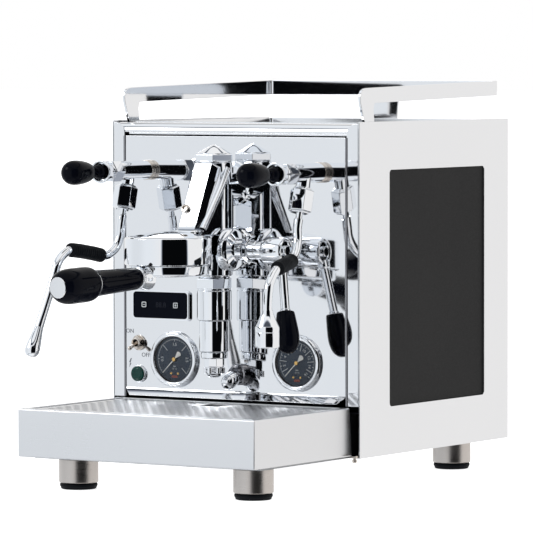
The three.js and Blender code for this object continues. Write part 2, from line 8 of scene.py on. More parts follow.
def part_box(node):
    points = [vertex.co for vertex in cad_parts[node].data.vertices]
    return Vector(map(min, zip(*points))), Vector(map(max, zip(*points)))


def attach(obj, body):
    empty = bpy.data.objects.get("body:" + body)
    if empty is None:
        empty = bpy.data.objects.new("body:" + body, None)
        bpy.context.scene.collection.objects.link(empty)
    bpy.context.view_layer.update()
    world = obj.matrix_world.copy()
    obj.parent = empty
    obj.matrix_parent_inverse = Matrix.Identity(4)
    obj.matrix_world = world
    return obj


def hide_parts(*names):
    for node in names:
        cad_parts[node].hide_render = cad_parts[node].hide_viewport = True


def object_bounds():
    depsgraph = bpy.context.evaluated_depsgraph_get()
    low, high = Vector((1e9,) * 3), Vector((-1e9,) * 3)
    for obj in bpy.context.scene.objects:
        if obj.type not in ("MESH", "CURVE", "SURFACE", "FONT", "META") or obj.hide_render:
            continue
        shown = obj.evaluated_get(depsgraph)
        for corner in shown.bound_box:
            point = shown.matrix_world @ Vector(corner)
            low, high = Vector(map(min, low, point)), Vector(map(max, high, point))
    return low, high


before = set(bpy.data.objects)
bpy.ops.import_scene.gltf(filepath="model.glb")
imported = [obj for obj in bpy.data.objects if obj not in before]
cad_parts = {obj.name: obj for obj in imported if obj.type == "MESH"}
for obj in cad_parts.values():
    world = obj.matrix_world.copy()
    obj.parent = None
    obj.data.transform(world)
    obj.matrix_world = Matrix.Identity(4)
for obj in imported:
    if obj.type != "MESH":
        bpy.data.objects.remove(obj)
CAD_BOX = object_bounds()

bl_info = {
    "name": "Espresso machine",
    "version": (1, 0, 0),
    "blender": (4, 5, 0),
    "location": "3D View > Sidebar > Espresso",
    "description": "Visible pieces and finishes of a two-boiler espresso machine, round its packed frame",
    "category": "Add Mesh",
}

# Pieces are drafted in millimetres: X from the middle plane, Y back from the front panel, Z up.
MM = 0.001
FRONT_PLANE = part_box("body_frame")[0].y
X, Y, Z = Vector((1, 0, 0)), Vector((0, 1, 0)), Vector((0, 0, 1))
TURN = 2 * math.pi


def room(node):
    """Lowest corner, highest corner and middle of a CAD node, in drafting millimetres."""
    low, high = (Vector((p.x, p.y - FRONT_PLANE, p.z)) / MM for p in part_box(node))
    return low, high, (low + high) / 2


def metres(point):
    """A drafting point in the frame's metres."""
    return Vector((point[0] * MM, point[1] * MM + FRONT_PLANE, point[2] * MM))


# ---------------------------------------------------------------- settings a user would change
class MachineSizes(bpy.types.PropertyGroup):
    """Sizes of the fine detail; the large sizes come from the frame."""

    turned_sides: bpy.props.IntProperty(
        name="Turned sides", description="Facets round a large turned piece", default=96, min=24)
    edge: bpy.props.FloatProperty(
        name="Sheet edge", description="Rounding of sheet metal edges", default=0.0005, unit="LENGTH")
    grid_pitch: bpy.props.FloatProperty(
        name="Slot pitch", description="Distance between slots along the drip grid", default=0.0105,
                                        unit="LENGTH")
    grid_row: bpy.props.FloatProperty(
        name="Slot row", description="Distance between rows of slots", default=0.0072, unit="LENGTH")
    hole_pitch: bpy.props.FloatProperty(
        name="Hole pitch", description="Distance between the holes of the cup tray", default=0.0085,
                                        unit="LENGTH")
    hole: bpy.props.FloatProperty(
        name="Hole", description="Diameter of the holes of the cup tray", default=0.0034, unit="LENGTH")


class MachineColours(bpy.types.PropertyGroup):
    """Base colours of the finishes."""

    steel: bpy.props.FloatVectorProperty(
        name="Steel", description="Polished stainless steel", subtype="COLOR", default=(0.86, 0.87, 0.89))
    chrome: bpy.props.FloatVectorProperty(
        name="Chrome", description="Chrome plating", subtype="COLOR", default=(0.88, 0.9, 0.93))
    feet: bpy.props.FloatVectorProperty(
        name="Feet", description="Brushed steel of the feet", subtype="COLOR", default=(0.6, 0.56, 0.53))
    inset: bpy.props.FloatVectorProperty(
        name="Inset", description="Powder coat of the side insets", subtype="COLOR",
                                         default=(0.013, 0.013, 0.0135))
    handle: bpy.props.FloatVectorProperty(
        name="Handle", description="Moulded handles and knobs", subtype="COLOR",
                                          default=(0.002, 0.0025, 0.005))
    dial: bpy.props.FloatVectorProperty(
        name="Dial", description="Face of the gauges", subtype="COLOR", default=(0.035, 0.052, 0.08))
    lamp: bpy.props.FloatVectorProperty(
        name="Lamp", description="Lens of the pilot lamp", subtype="COLOR", default=(0.0, 0.045, 0.035))


class StudioSettings(bpy.types.PropertyGroup):
    """Light, floor and camera of the stage."""

    tent: bpy.props.FloatProperty(
        name="Tent", description="Brightness of the white tent at eye level", default=0.92, min=0)
    ceiling: bpy.props.FloatProperty(
        name="Ceiling", description="Brightness of the tent overhead", default=0.98, min=0)
    opening: bpy.props.FloatProperty(
        name="Opening", description="Brightness of the dark opening of the tent", default=0.003, min=0)
    softbox: bpy.props.FloatProperty(
        name="Softbox", description="Power of the softbox", default=26, min=0, unit="POWER")
    floor: bpy.props.FloatVectorProperty(
        name="Floor", description="Colour of the floor", subtype="COLOR", default=(0.9, 0.9, 0.9))
    lens: bpy.props.FloatProperty(
        name="Lens", description="Focal length", default=304.07, subtype="DISTANCE_CAMERA")


def sizes():
    return bpy.context.scene.espresso_sizes


def colours():
    return bpy.context.scene.espresso_colours


def studio():
    return bpy.context.scene.espresso_studio


# ---------------------------------------------------------------- finishes
class Nodes:
    """A few short calls for building a node tree."""

    def __init__(self, tree):
        self.tree = tree
        self.tree.nodes.clear()

    def add(self, kind, **values):
        node = self.tree.nodes.new(kind)
        for name, value in values.items():
            setattr(node, name, value)
        return node

    def link(self, source, target):
        self.tree.links.new(source, target)

    def feed(self, socket, value):
        """Links an output to the socket, or sets the socket to a plain value."""
        if isinstance(value, bpy.types.NodeSocket):
            self.link(value, socket)
        else:
            socket.default_value = value

    def math(self, operation, a, b=0.0):
        node = self.add("ShaderNodeMath", operation=operation)
        self.feed(node.inputs[0], a)
        self.feed(node.inputs[1], b)
        return node.outputs[0]

    def ramp(self, value, low, high, to_low=0.0, to_high=1.0, smooth=False):
        node = self.add("ShaderNodeMapRange", interpolation_type="SMOOTHSTEP" if smooth else "LINEAR")
        for socket, number in zip(node.inputs[1:5], (low, high, to_low, to_high)):
            socket.default_value = number
        self.link(value, node.inputs[0])
        return node.outputs[0]

    def noise(self, scale, detail=3.0, stretch=(1, 1, 1)):
        place = self.add("ShaderNodeTexCoord").outputs["Object"]
        mapping = self.add("ShaderNodeMapping")
        mapping.inputs["Scale"].default_value = stretch
        self.link(place, mapping.inputs["Vector"])
        noise = self.add("ShaderNodeTexNoise")
        noise.inputs["Scale"].default_value = scale
        noise.inputs["Detail"].default_value = detail
        self.link(mapping.outputs[0], noise.inputs["Vector"])
        return noise.outputs["Fac"]

    def mix(self, factor, a, b):
        node = self.add("ShaderNodeMix", data_type="RGBA")
        self.link(factor, node.inputs["Factor"])
        self.feed(node.inputs["A"], a)
        self.feed(node.inputs["B"], b)
        return node.outputs["Result"]

    def bump(self, height, strength, distance):
        node = self.add("ShaderNodeBump")
        node.inputs["Strength"].default_value = strength
        node.inputs["Distance"].default_value = distance
        self.link(height, node.inputs["Height"])
        return node.outputs["Normal"]


def shade(colour, factor):
    return (*(min(1.0, channel * factor) for channel in colour), 1.0)


def surface(name, colour, roughness, metallic=0.0, spread=0.03, grain=(60, 3.0, (1, 1, 1)),
            wear=(9, 0.02), relief=(0.05, 0.00002), **sockets):
    """A finish with fine grain, slow changes of tone and gloss, and a little relief."""
    material = bpy.data.materials.new(name)
    material.use_nodes = True
    n = Nodes(material.node_tree)
    shader = n.add("ShaderNodeBsdfPrincipled")
    output = n.add("ShaderNodeOutputMaterial")
    n.link(shader.outputs[0], output.inputs[0])
    fine = n.noise(*grain)
    slow = n.noise(wear[0], 2.0)
    n.link(n.mix(slow, shade(colour, 1 - spread), shade(colour, 1 + spread)), shader.inputs["Base Color"])
    gloss = n.math("ADD", n.ramp(fine, 0.3, 0.7, roughness * 0.8, roughness * 1.2),
                   n.ramp(slow, 0.35, 0.75, 0.0, wear[1]))
    n.link(gloss, shader.inputs["Roughness"])
    n.link(n.bump(fine, *relief), shader.inputs["Normal"])
    shader.inputs["Metallic"].default_value = metallic
    for socket, value in sockets.items():
        shader.inputs[socket.replace("_", " ")].default_value = value
    return material


def clear_glass(name):
    """Thin clear glass: see-through, with a gloss that grows at a shallow angle."""
    material = bpy.data.materials.new(name)
    material.use_nodes = True
    n = Nodes(material.node_tree)
    gloss = n.add("ShaderNodeBsdfGlossy")
    gloss.inputs["Roughness"].default_value = 0.02
    clear = n.add("ShaderNodeBsdfTransparent")
    fresnel = n.add("ShaderNodeFresnel")
    fresnel.inputs["IOR"].default_value = 1.25
    mixer = n.add("ShaderNodeMixShader")
    n.link(fresnel.outputs[0], mixer.inputs[0])
    n.link(clear.outputs[0], mixer.inputs[1])
    n.link(gloss.outputs[0], mixer.inputs[2])
    n.link(mixer.outputs[0], n.add("ShaderNodeOutputMaterial").inputs[0])
    return material


BRUSHED_ALONG_X = (1, 40, 40)
BRUSHED_ALONG_Z = (40, 40, 1)
BRUSHED_ROUND_Z = (2, 2, 60)


def make_finish(name):
    c = colours()
    if name == "mirror_steel":
        return surface(name, c.steel, 0.03, 1, 0.01, wear=(5, 0.02), relief=(0.02, 0.0001),
                       grain=(7, 1.0, (1, 1, 1)))
    if name == "polished_steel":
        return surface(name, c.steel, 0.13, 1, 0.02, (90, 3.0, BRUSHED_ALONG_Z), (4, 0.05), (0.02, 0.00002))
    if name == "satin_steel":
        return surface(name, shade(c.steel, 0.93)[:3], 0.3, 1, 0.03, (45, 4.0, BRUSHED_ALONG_X), (4, 0.06),
                       (0.12, 0.00003))
    if name == "brushed_steel":
        return surface(name, c.feet, 0.3, 1, 0.06, (30, 4.0, BRUSHED_ROUND_Z), (20, 0.05), (0.2, 0.00004))
    if name == "chrome":
        return surface(name, c.chrome, 0.025, 1, 0.01, (40, 2.0, (1, 1, 1)), (25, 0.025), (0.01, 0.00004))
    if name == "dark_chrome":
        return surface(name, (0.3, 0.3, 0.32), 0.12, 1, 0.05)
    if name == "anthracite":
        return surface(name, c.inset, 0.5, 0, 0.08, (1400, 2.0, (1, 1, 1)), (6, 0.08), (0.25, 0.00006),
                       Specular_IOR_Level=0.12)
    if name == "black_handle":
        return surface(name, c.handle, 0.07, 0, 0.2, (140, 3.0, (1, 1, 1)), (18, 0.05), (0.02, 0.00005),
                       Specular_IOR_Level=0.05)
    if name == "black_rubber":
        return surface(name, (0.005, 0.006, 0.008), 0.5, 0, 0.2, (600, 3.0, (1, 1, 1)), (30, 0.15),
                       (0.4, 0.0001), Specular_IOR_Level=0.08)
    if name == "screen":
        return surface(name, (0.002, 0.003, 0.007), 0.06, 0, 0.3, (60, 2.0, (1, 1, 1)), (12, 0.04),
                       (0.01, 0.00003), Specular_IOR_Level=0.04)
    if name == "dial":
        return surface(name, c.dial, 0.55, 0, 0.1, (900, 2.0, (1, 1, 1)), (40, 0.1), (0.1, 0.00003),
                       Specular_IOR_Level=0.2)
    if name == "print_white":
        return surface(name, (0.62, 0.66, 0.68), 0.6, 0, 0.06, relief=(0.1, 0.00002))
    if name == "print_grey":
        return surface(name, (0.16, 0.17, 0.19), 0.5, 0, 0.06, relief=(0.1, 0.00002))
    if name == "print_faint":
        return surface(name, (0.012, 0.014, 0.022), 0.4, 0, 0.06, Specular_IOR_Level=0.1)
    if name == "print_red":
        return surface(name, (0.3, 0.05, 0.03), 0.6, 0, 0.1, relief=(0.1, 0.00002))
    if name == "needle":
        return surface(name, (0.85, 0.85, 0.82), 0.4, 0, 0.03, relief=(0.1, 0.00002))
    if name == "gold":
        return surface(name, (0.78, 0.5, 0.17), 0.25, 1, 0.06, (300, 3.0, (1, 1, 1)), (60, 0.08))
    if name == "lens":
        return surface(name, c.lamp, 0.12, 0, 0.25, (500, 2.0, (1, 1, 1)), (60, 0.05), (0.1, 0.0001),
                       Coat_Weight=0.2, Specular_IOR_Level=0.2)
    if name == "warm_steel":
        return surface(name, (0.7, 0.64, 0.58), 0.16, 1, 0.05, (120, 3.0, BRUSHED_ALONG_X), (30, 0.06))
    if name == "zinc_steel":
        return surface(name, (0.35, 0.36, 0.37), 0.42, 0.9, 0.15, (80, 4.0, (1, 1, 1)), (14, 0.15))
    if name == "boiler_steel":
        return surface(name, (0.62, 0.42, 0.24), 0.3, 1, 0.12, (70, 4.0, (1, 1, 1)), (12, 0.12))
    if name == "tank_plastic":
        return surface(name, (0.5, 0.53, 0.56), 0.3, 0, 0.06, (80, 3.0, (1, 1, 1)), (10, 0.1))
    if name == "electrics":
        return surface(name, (0.01, 0.01, 0.011), 0.45, 0, 0.15, (500, 3.0, (1, 1, 1)), (20, 0.1),
                       (0.3, 0.00005))
    if name == "glass":
        return clear_glass(name)
    raise ValueError(f"there is no finish named {name!r}")


FINISHES = {}


def finish(name):
    """The finish of that name, made the first time it is asked for."""
    if name not in FINISHES:
        FINISHES[name] = make_finish(name)
    return FINISHES[name]


# ---------------------------------------------------------------- outlines
def arc(centre, radius, start, end, steps=8):
    """Points on an arc, angles in degrees."""
    turns = (math.radians(start + (end - start) * i / steps) for i in range(steps + 1))
    return [(centre[0] + radius * math.cos(t), centre[1] + radius * math.sin(t)) for t in turns]


def rounded(u0, v0, u1, v1, radius, steps=6):
    """Outline of a rectangle with round corners."""
    return (arc((u1 - radius, v0 + radius), radius, -90, 0, steps)
            + arc((u1 - radius, v1 - radius), radius, 0, 90, steps)
            + arc((u0 + radius, v1 - radius), radius, 90, 180, steps)
            + arc((u0 + radius, v0 + radius), radius, 180, 270, steps))


def inset(outline, distance):
    """The outline moved inwards by a distance; it runs counterclockwise."""
    moved = []
    for i, here in enumerate(outline):
        before, here, after = Vector(outline[i - 1]), Vector(here), Vector(outline[(i + 1) % len(outline)])
        a, b = (here - before).normalized(), (after - here).normalized()
        normal_a, normal_b = Vector((-a.y, a.x)), Vector((-b.y, b.x))
        middle = (normal_a + normal_b).normalized()
        moved.append(tuple(here + middle * distance / max(0.3, middle.dot(normal_a))))
    return moved


def eased(points, steps=8):
    """A smooth open curve through the points, with even steps between each two of them."""
    spots = [Vector(p) for p in points]
    spots = [2 * spots[0] - spots[1], *spots, 2 * spots[-1] - spots[-2]]
    curve = []
    for a, b, c, d in zip(spots, spots[1:], spots[2:], spots[3:]):
        knots = [0.0]
        for p, q in ((a, b), (b, c), (c, d)):
            knots.append(knots[-1] + max(1e-6, (q - p).length) ** 0.5)
        t0, t1, t2, t3 = knots
        for i in range(steps):
            t = t1 + (t2 - t1) * i / steps
            p = a * (t1 - t) / (t1 - t0) + b * (t - t0) / (t1 - t0)
            q = b * (t2 - t) / (t2 - t1) + c * (t - t1) / (t2 - t1)
            r = c * (t3 - t) / (t3 - t2) + d * (t - t2) / (t3 - t2)
            u = p * (t2 - t) / (t2 - t0) + q * (t - t0) / (t2 - t0)
            v = q * (t3 - t) / (t3 - t1) + r * (t - t1) / (t3 - t1)
            curve.append(u * (t2 - t) / (t2 - t1) + v * (t - t1) / (t2 - t1))
    return curve + [spots[-2]]


AXES = {
    "x": lambda u, v, w: Vector((w, u, v)),  # outline in (y, z)
    "y": lambda u, v, w: Vector((u, w, v)),  # outline in (x, z)
    "z": lambda u, v, w: Vector((u, v, w)),  # outline in (x, y)
}


# ---------------------------------------------------------------- mesh building
class Form:
    """Points and faces of one piece in drafting millimetres, with a finish number for each face."""

    def __init__(self):
        self.points, self.faces, self.kinds = [], [], []

    def add(self, points, faces, kind=0):
        start = len(self.points)
        self.points += [Vector(p) for p in points]
        self.faces += [[start + i for i in face] for face in faces]
        self.kinds += [kind] * len(faces)
        return self

    def loft(self, rings, kind=0, caps=True, loop=False):
        """Quads between rings of equally many points; a ring of one point is a tip."""
        points, starts, faces = [], [], []
        for ring in rings:
            starts.append(len(points))
            points += ring
        pairs = list(zip(range(len(rings)), range(1, len(rings))))
        if loop:
            pairs.append((len(rings) - 1, 0))
        for i, j in pairs:
            a, b, m, n = starts[i], starts[j], len(rings[i]), len(rings[j])
            for k in range(max(m, n)):
                l = (k + 1) % max(m, n)
                if m == 1:
                    faces.append([a, b + k, b + l])
                elif n == 1:
                    faces.append([a + k, b, a + l])
                else:
                    faces.append([a + k, b + k, b + l, a + l])
        if caps and not loop:
            for start, ring in ((starts[0], rings[0]), (starts[-1], rings[-1])):
                if len(ring) > 2:
                    faces.append(list(range(start, start + len(ring))))
        return self.add(points, faces, kind)

    def turned(self, profile, start, direction, sides=None, kind=0, corner=None):
        """A turned piece: profile points are (radius, distance along the axis)."""
        axis = Vector(direction).normalized()
        reference = corner or (X if abs(axis.x) < 0.9 else Z)
        across = (reference - axis * axis.dot(reference)).normalized()
        beside = axis.cross(across)
        count = sides or sizes().turned_sides
        rings = []
        for radius, along in profile:
            centre = Vector(start) + axis * along
            if radius < 1e-6:
                rings.append([centre])
                continue
            turns = (TURN * i / count for i in range(count))
            rings.append([centre + (across * math.cos(t) + beside * math.sin(t)) * radius for t in turns])
        return self.loft(rings, kind)

    def ring(self, profile, start, direction, sides=None, kind=0):
        """A turned piece with a bore: its profile closes on itself."""
        axis = Vector(direction).normalized()
        across = axis.orthogonal().normalized()
        beside = axis.cross(across)
        count = sides or sizes().turned_sides
        turns = [TURN * i / count for i in range(count)]
        spokes = [across * math.cos(t) + beside * math.sin(t) for t in turns]
        rings = [[Vector(start) + axis * along + spoke * radius for spoke in spokes]
                 for radius, along in profile]
        return self.loft(rings, kind, loop=True)

    def hexagon(self, across, length, start, direction, corner=None, kind=0, chamfer=1.0):
        """A hexagonal bar across its flats, with turned corners at both ends."""
        radius = across / math.sqrt(3)
        profile = [(0, 0), (radius - chamfer, 0), (radius, chamfer * 0.6),
                   (radius, length - chamfer * 0.6), (radius - chamfer, length), (0, length)]
        return self.turned(profile, start, direction, 6, kind, corner)

    def prism(self, outline, axis, low, high, kind=0, draft=0.0):
        """An outline pushed along an axis; draft leaves a sloping edge of that size at both ends."""
        place = AXES[axis]
        if not draft:
            return self.loft([[place(u, v, w) for u, v in outline] for w in (low, high)], kind)
        small = inset(outline, draft)
        steps = ((small, low), (outline, low + draft), (outline, high - draft), (small, high))
        return self.loft([[place(u, v, w) for u, v in shape] for shape, w in steps], kind)

    def window(self, outer, inner, axis, low, high, kind=0):
        """A plate with an opening; both outlines have equally many points."""
        place = AXES[axis]
        rings = [[place(u, v, w) for u, v in shape]
                 for shape, w in ((outer, low), (outer, high), (inner, high), (inner, low))]
        return self.loft(rings, kind, loop=True)

    def block(self, low, high, kind=0):
        outline = [(low[0], low[1]), (high[0], low[1]), (high[0], high[1]), (low[0], high[1])]
        return self.prism(outline, "z", low[2], high[2], kind)

    def swept(self, path, radius, sides=32, kind=0):
        """A round bar along a path; radius is a number or a function of the share of the way along."""
        spots = [Vector(p) for p in path]
        tangents = [(b - a).normalized() for a, b in zip([spots[0], *spots], [*spots[1:], spots[-1]])]
        tangents[0] = (spots[1] - spots[0]).normalized()
        across = tangents[0].orthogonal().normalized()
        rings = []
        for i, (spot, tangent) in enumerate(zip(spots, tangents)):
            across = (across - tangent * tangent.dot(across)).normalized()
            beside = tangent.cross(across)
            size = radius(i / (len(spots) - 1)) if callable(radius) else radius
            turns = (TURN * k / sides for k in range(sides))
            rings.append([spot + (across * math.cos(t) + beside * math.sin(t)) * size for t in turns])
        return self.loft(rings, kind)

    def letters(self, text, height, centre, across, up, depth=0.15, kind=0):
        """Thin raised letters centred on a point."""
        curve = bpy.data.curves.new("letters", "FONT")
        curve.body, curve.size, curve.extrude = text, height, depth / 2
        curve.align_x, curve.align_y, curve.resolution_u = "CENTER", "CENTER", 3
        holder = bpy.data.objects.new("letters", curve)
        mesh = bpy.data.meshes.new_from_object(holder)
        across, up = Vector(across).normalized(), Vector(up).normalized()
        out = across.cross(up)
        points = [Vector(centre) + across * v.co.x + up * v.co.y + out * v.co.z for v in mesh.vertices]
        self.add(points, [list(p.vertices) for p in mesh.polygons], kind)
        bpy.data.objects.remove(holder)
        bpy.data.curves.remove(curve)
        bpy.data.meshes.remove(mesh)
        return self

    def mesh(self, name, crease=32):
        """The form as a Blender mesh in metres, smooth except over its creases."""
        mesh = bpy.data.meshes.new(name)
        mesh.from_pydata([metres(p) for p in self.points], [], self.faces)
        mesh.polygons.foreach_set("material_index", self.kinds)
        work = bmesh.new()
        work.from_mesh(mesh)
        bmesh.ops.remove_doubles(work, verts=work.verts, dist=1e-6)
        bmesh.ops.recalc_face_normals(work, faces=work.faces)
        work.to_mesh(mesh)
        work.free()
        mesh.shade_smooth()
        mesh.set_sharp_from_angle(angle=math.radians(crease))
        return mesh


def combined(forms, operation, crease=32):
    """The mesh of the first form with the others joined to it or cut out of it."""
    holders = [bpy.data.objects.new("work", form.mesh("work")) for form in forms]
    for holder in holders:
        bpy.context.scene.collection.objects.link(holder)
    for tool in holders[1:]:
        modifier = holders[0].modifiers.new("combine", "BOOLEAN")
        modifier.operation, modifier.object, modifier.solver = operation, tool, "EXACT"
    graph = bpy.context.evaluated_depsgraph_get()
    mesh = bpy.data.meshes.new_from_object(holders[0].evaluated_get(graph))
    mesh.shade_smooth()
    mesh.set_sharp_from_angle(angle=math.radians(crease))
    for holder in holders:
        spent = holder.data
        bpy.data.objects.remove(holder)
        bpy.data.meshes.remove(spent)
    return mesh


def place_piece(name, form, finishes, body, stands_for=(), edge=0.0, rounds=2, crease=32):
    """Puts a form or a mesh into the scene as one piece that rides on a body."""
    mesh = form.mesh(name, crease) if isinstance(form, Form) else form
    for finish_name in finishes:
        mesh.materials.append(finish(finish_name))
    piece = bpy.data.objects.new(name, mesh)
    bpy.context.scene.collection.objects.link(piece)
    if edge:
        bevel = piece.modifiers.new("edges", "BEVEL")
        bevel.width, bevel.segments, bevel.limit_method = edge, rounds, "ANGLE"
        bevel.angle_limit, bevel.harden_normals = math.radians(crease), True
    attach(piece, body)
    if stands_for:
        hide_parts(*stands_for)
    return piece


def coat(node, finish_name):
    """Gives a carried-over CAD node its finish."""
    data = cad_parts[node].data
    data.materials.clear()
    data.materials.append(finish(finish_name))


# ---------------------------------------------------------------- stage
CAMERA = {"place": (2.5077, -3.82898, 0.43808), "yaw": 0.57347569, "pitch": 0.04740261, "roll": -0.00180365}
OPENING = {"azimuth": (17, 87), "height": (-35, 38)}  # where the white tent is open, in degrees
GAP = (44, 49)  # heights of the dark gap between the walls of the tent and its ceiling


def make_world():
    """A white tent, open on the side of the camera, that only reflections and light see."""
    s = studio()
    world = bpy.data.worlds.new("tent")
    world.use_nodes = True
    bpy.context.scene.world = world
    n = Nodes(world.node_tree)
    split = n.add("ShaderNodeSeparateXYZ")
    n.link(n.add("ShaderNodeTexCoord").outputs["Generated"], split.inputs[0])
    east, north, up = split.outputs
    azimuth = n.math("MULTIPLY", n.math("ARCTAN2", east, n.math("MULTIPLY", north, -1.0)), 180 / math.pi)
    height = n.math("MULTIPLY", n.math("ARCSINE", up), 180 / math.pi)

    def between(value, low, high, soft):
        rise = n.ramp(value, low - soft, low + soft, smooth=True)
        fall = n.ramp(value, high - soft, high + soft, 1.0, 0.0, smooth=True)
        return n.math("MULTIPLY", rise, fall)

    level = n.ramp(height, 8, 70, s.tent, s.ceiling, smooth=True)
    floor_glow = n.ramp(height, -70, -4, 1.0, 0.0, smooth=True)
    level = n.math("ADD", level, n.math("MULTIPLY", floor_glow, 0.1))
    shade_left = n.math("MULTIPLY", between(azimuth, -80, -38, 16), between(height, -50, 50, 20))
    level = n.math("MULTIPLY", level, n.math("SUBTRACT", 1.0, n.math("MULTIPLY", shade_left, 0.09)))
    dark = n.math("MULTIPLY", between(azimuth, *OPENING["azimuth"], 3.0),
                  between(height, *OPENING["height"], 2.5))
    gap = n.math("MULTIPLY", between(n.math("ABSOLUTE", height), *GAP, 1.5), 0.9)
    dark = n.math("MAXIMUM", dark, gap)
    tone = n.mix(between(azimuth, -120, 10, 30), (1.0, 0.985, 0.97, 1), (0.93, 0.965, 1.0, 1))
    lit = n.add("ShaderNodeBackground")
    n.link(n.mix(dark, tone, (0.7, 0.8, 1.0, 1)), lit.inputs["Color"])
    n.link(n.math("ADD", n.math("MULTIPLY", level, n.math("SUBTRACT", 1.0, dark)),
                  n.math("MULTIPLY", dark, s.opening)), lit.inputs["Strength"])
    plain = n.add("ShaderNodeBackground")
    plain.inputs["Color"].default_value = (1, 1, 1, 1)
    choose = n.add("ShaderNodeMixShader")
    n.link(n.add("ShaderNodeLightPath").outputs["Is Camera Ray"], choose.inputs[0])
    n.link(lit.outputs[0], choose.inputs[1])
    n.link(plain.outputs[0], choose.inputs[2])
    n.link(choose.outputs[0], n.add("ShaderNodeOutputWorld").inputs[0])


def area_light(name, place, aim, size, power):
    light = bpy.data.lights.new(name, "AREA")
    light.shape, light.size, light.size_y, light.energy = "RECTANGLE", size[0], size[1], power
    holder = bpy.data.objects.new(name, light)
    holder.location = place
    holder.rotation_euler = (Vector(aim) - Vector(place)).to_track_quat("-Z", "Y").to_euler()
    bpy.context.scene.collection.objects.link(holder)
    return holder


class ESPRESSO_OT_stage(bpy.types.Operator):
    """Camera, white tent, softbox and pale floor"""

    bl_idname = "espresso.stage"
    bl_label = "Stage"

    def execute(self, context):
        s = studio()
        scene = context.scene
        data = bpy.data.cameras.new("camera")
        data.sensor_width, data.lens, data.clip_end = 36, s.lens, 100
        camera = bpy.data.objects.new("camera", data)
        camera.matrix_world = (
            Matrix.Translation(CAMERA["place"]) @ Matrix.Rotation(CAMERA["yaw"], 4, "Z")
            @ Matrix.Rotation(math.pi / 2 - CAMERA["pitch"], 4, "X")
            @ Matrix.Rotation(CAMERA["roll"], 4, "Z"))
        scene.collection.objects.link(camera)
        scene.camera = camera
        scene.view_settings.view_transform = "Standard"
        make_world()
        middle = (CAD_BOX[0] + CAD_BOX[1]) / 2
        area_light("softbox", (-2.2, -2.4, 2.3), middle, (1.5, 1.2), s.softbox)

        mesh = bpy.data.meshes.new("floor")
        reach = 40
        mesh.from_pydata([(-reach, -reach, 0), (reach, -reach, 0), (reach, reach, 0), (-reach, reach, 0)],
                         [], [(0, 1, 2, 3)])
        floor = bpy.data.objects.new("floor", mesh)
        floor.location.z = CAD_BOX[0].z - 0.0002
        scene.collection.objects.link(floor)
        material = surface("floor_paper", s.floor, 0.9, 0, 0.005, (3, 2.0, (1, 1, 1)), relief=(0.02, 0.001),
                           Emission_Color=(1, 1, 1, 1), Emission_Strength=0.85, Specular_IOR_Level=0.0)
        mesh.materials.append(material)
        floor.visible_glossy = False  # the tent's own lower half is what the metal mirrors
        return {"FINISHED"}


# ---------------------------------------------------------------- casing
SEAM = 1.4  # dark gap round the front panel
BEND = 10  # radius of the bend over the front panel


class ESPRESSO_OT_front(bpy.types.Operator):
    """Front frame with its bent top band, the mirror front panel, and black sheets and rods behind the gaps
    that paint the shade seen in them
    """

    bl_idname = "espresso.front"
    bl_label = "Front"

    def execute(self, context):
        low, high, _ = room("body_frame")
        panel_low, panel_high, _ = room("front_panel")
        outer, inner, top = high.x, panel_high.x + 0.3, high.z
        skin, sheet = 0.8, 1.6
        form = Form()
        for side in (-1, 1):
            corner = arc((inner + 10.5, top - 10.5), 10.5, 180, 90, 8)
            outline = [(outer, low.z), (outer, top), *corner[::-1], (inner, low.z)]
            outline = [(side * x, z) for x, z in outline]
            form.prism(outline, "y", 0, skin)
            form.block((min(side * inner, side * outer), skin, low.z),
                       (max(side * inner, side * outer), 2, top - 12))
        front = skin + 0.1
        centre = (BEND + front, top - BEND)
        bend = arc(centre, BEND, 180, 90, 10) + [(high.y, top), (high.y, top - sheet)]
        bend += arc(centre, BEND - sheet, 90, 180, 10)
        form.prism(bend, "x", -outer + 1, outer - 1)
        flat_bottom = panel_high.z + SEAM
        notch = 5.2
        form.prism([(front, flat_bottom), (front, top - BEND), (front + sheet, top - BEND),
                    (front + sheet, flat_bottom)], "x", -inner + notch, inner)
        place_piece("front_frame", form, ["mirror_steel"], "machine", ["body_frame"],
                    edge=0.35 * MM)

        half = panel_high.x - SEAM + 0.3
        fold, lip_out = panel_low.z + 7.75, -panel_low.y
        rows = [(0, panel_high.z, half), (0, fold + 2, half), (-0.35, fold + 0.4, half),
                (-1.2, fold - 1, half - 0.7), (-lip_out, panel_low.z + 0.75, half - 7.5)]
        rings = []
        for y, z, reach in rows:
            rings.append([(-reach, y, z), (reach, y, z), (reach, y + 1.3, z - 0.1),
                          (-reach, y + 1.3, z - 0.1)])
        place_piece("front_panel_sheet", Form().loft(rings), ["mirror_steel"], "machine",
                    ["front_panel"], edge=0.4 * MM)

        # Black sheets and dark rods behind the gaps round the front panel: painted shade, so the gaps read
        # dark.
        gap_shade = Form()
        for side in (-1, 1):
            gap_shade.turned([(0, 0), (1.7, 0.3), (1.7, panel_high.z - low.z - 0.3), (0, panel_high.z - low.z)],
                        (side * (panel_high.x + 0.15), 0.8, low.z), Z, 24, kind=1)
            corner_low = (min(side * 118, side * 146), 3.2, low.z - 6)
            corner_high = (max(side * 118, side * 146), 4.4, top - 4)
            gap_shade.block(corner_low, corner_high)
        gap_shade.block((-outer + 2, 3.2, panel_high.z - 9), (outer - 2, 4.4, panel_high.z + 7))
        gap_shade.block((-outer + 2, 3.2, low.z - 7), (outer - 2, 4.4, low.z + 16))
        place_piece("front_gap_painted_shade", gap_shade, ["black_rubber", "dark_chrome"], "machine")
        return {"FINISHED"}


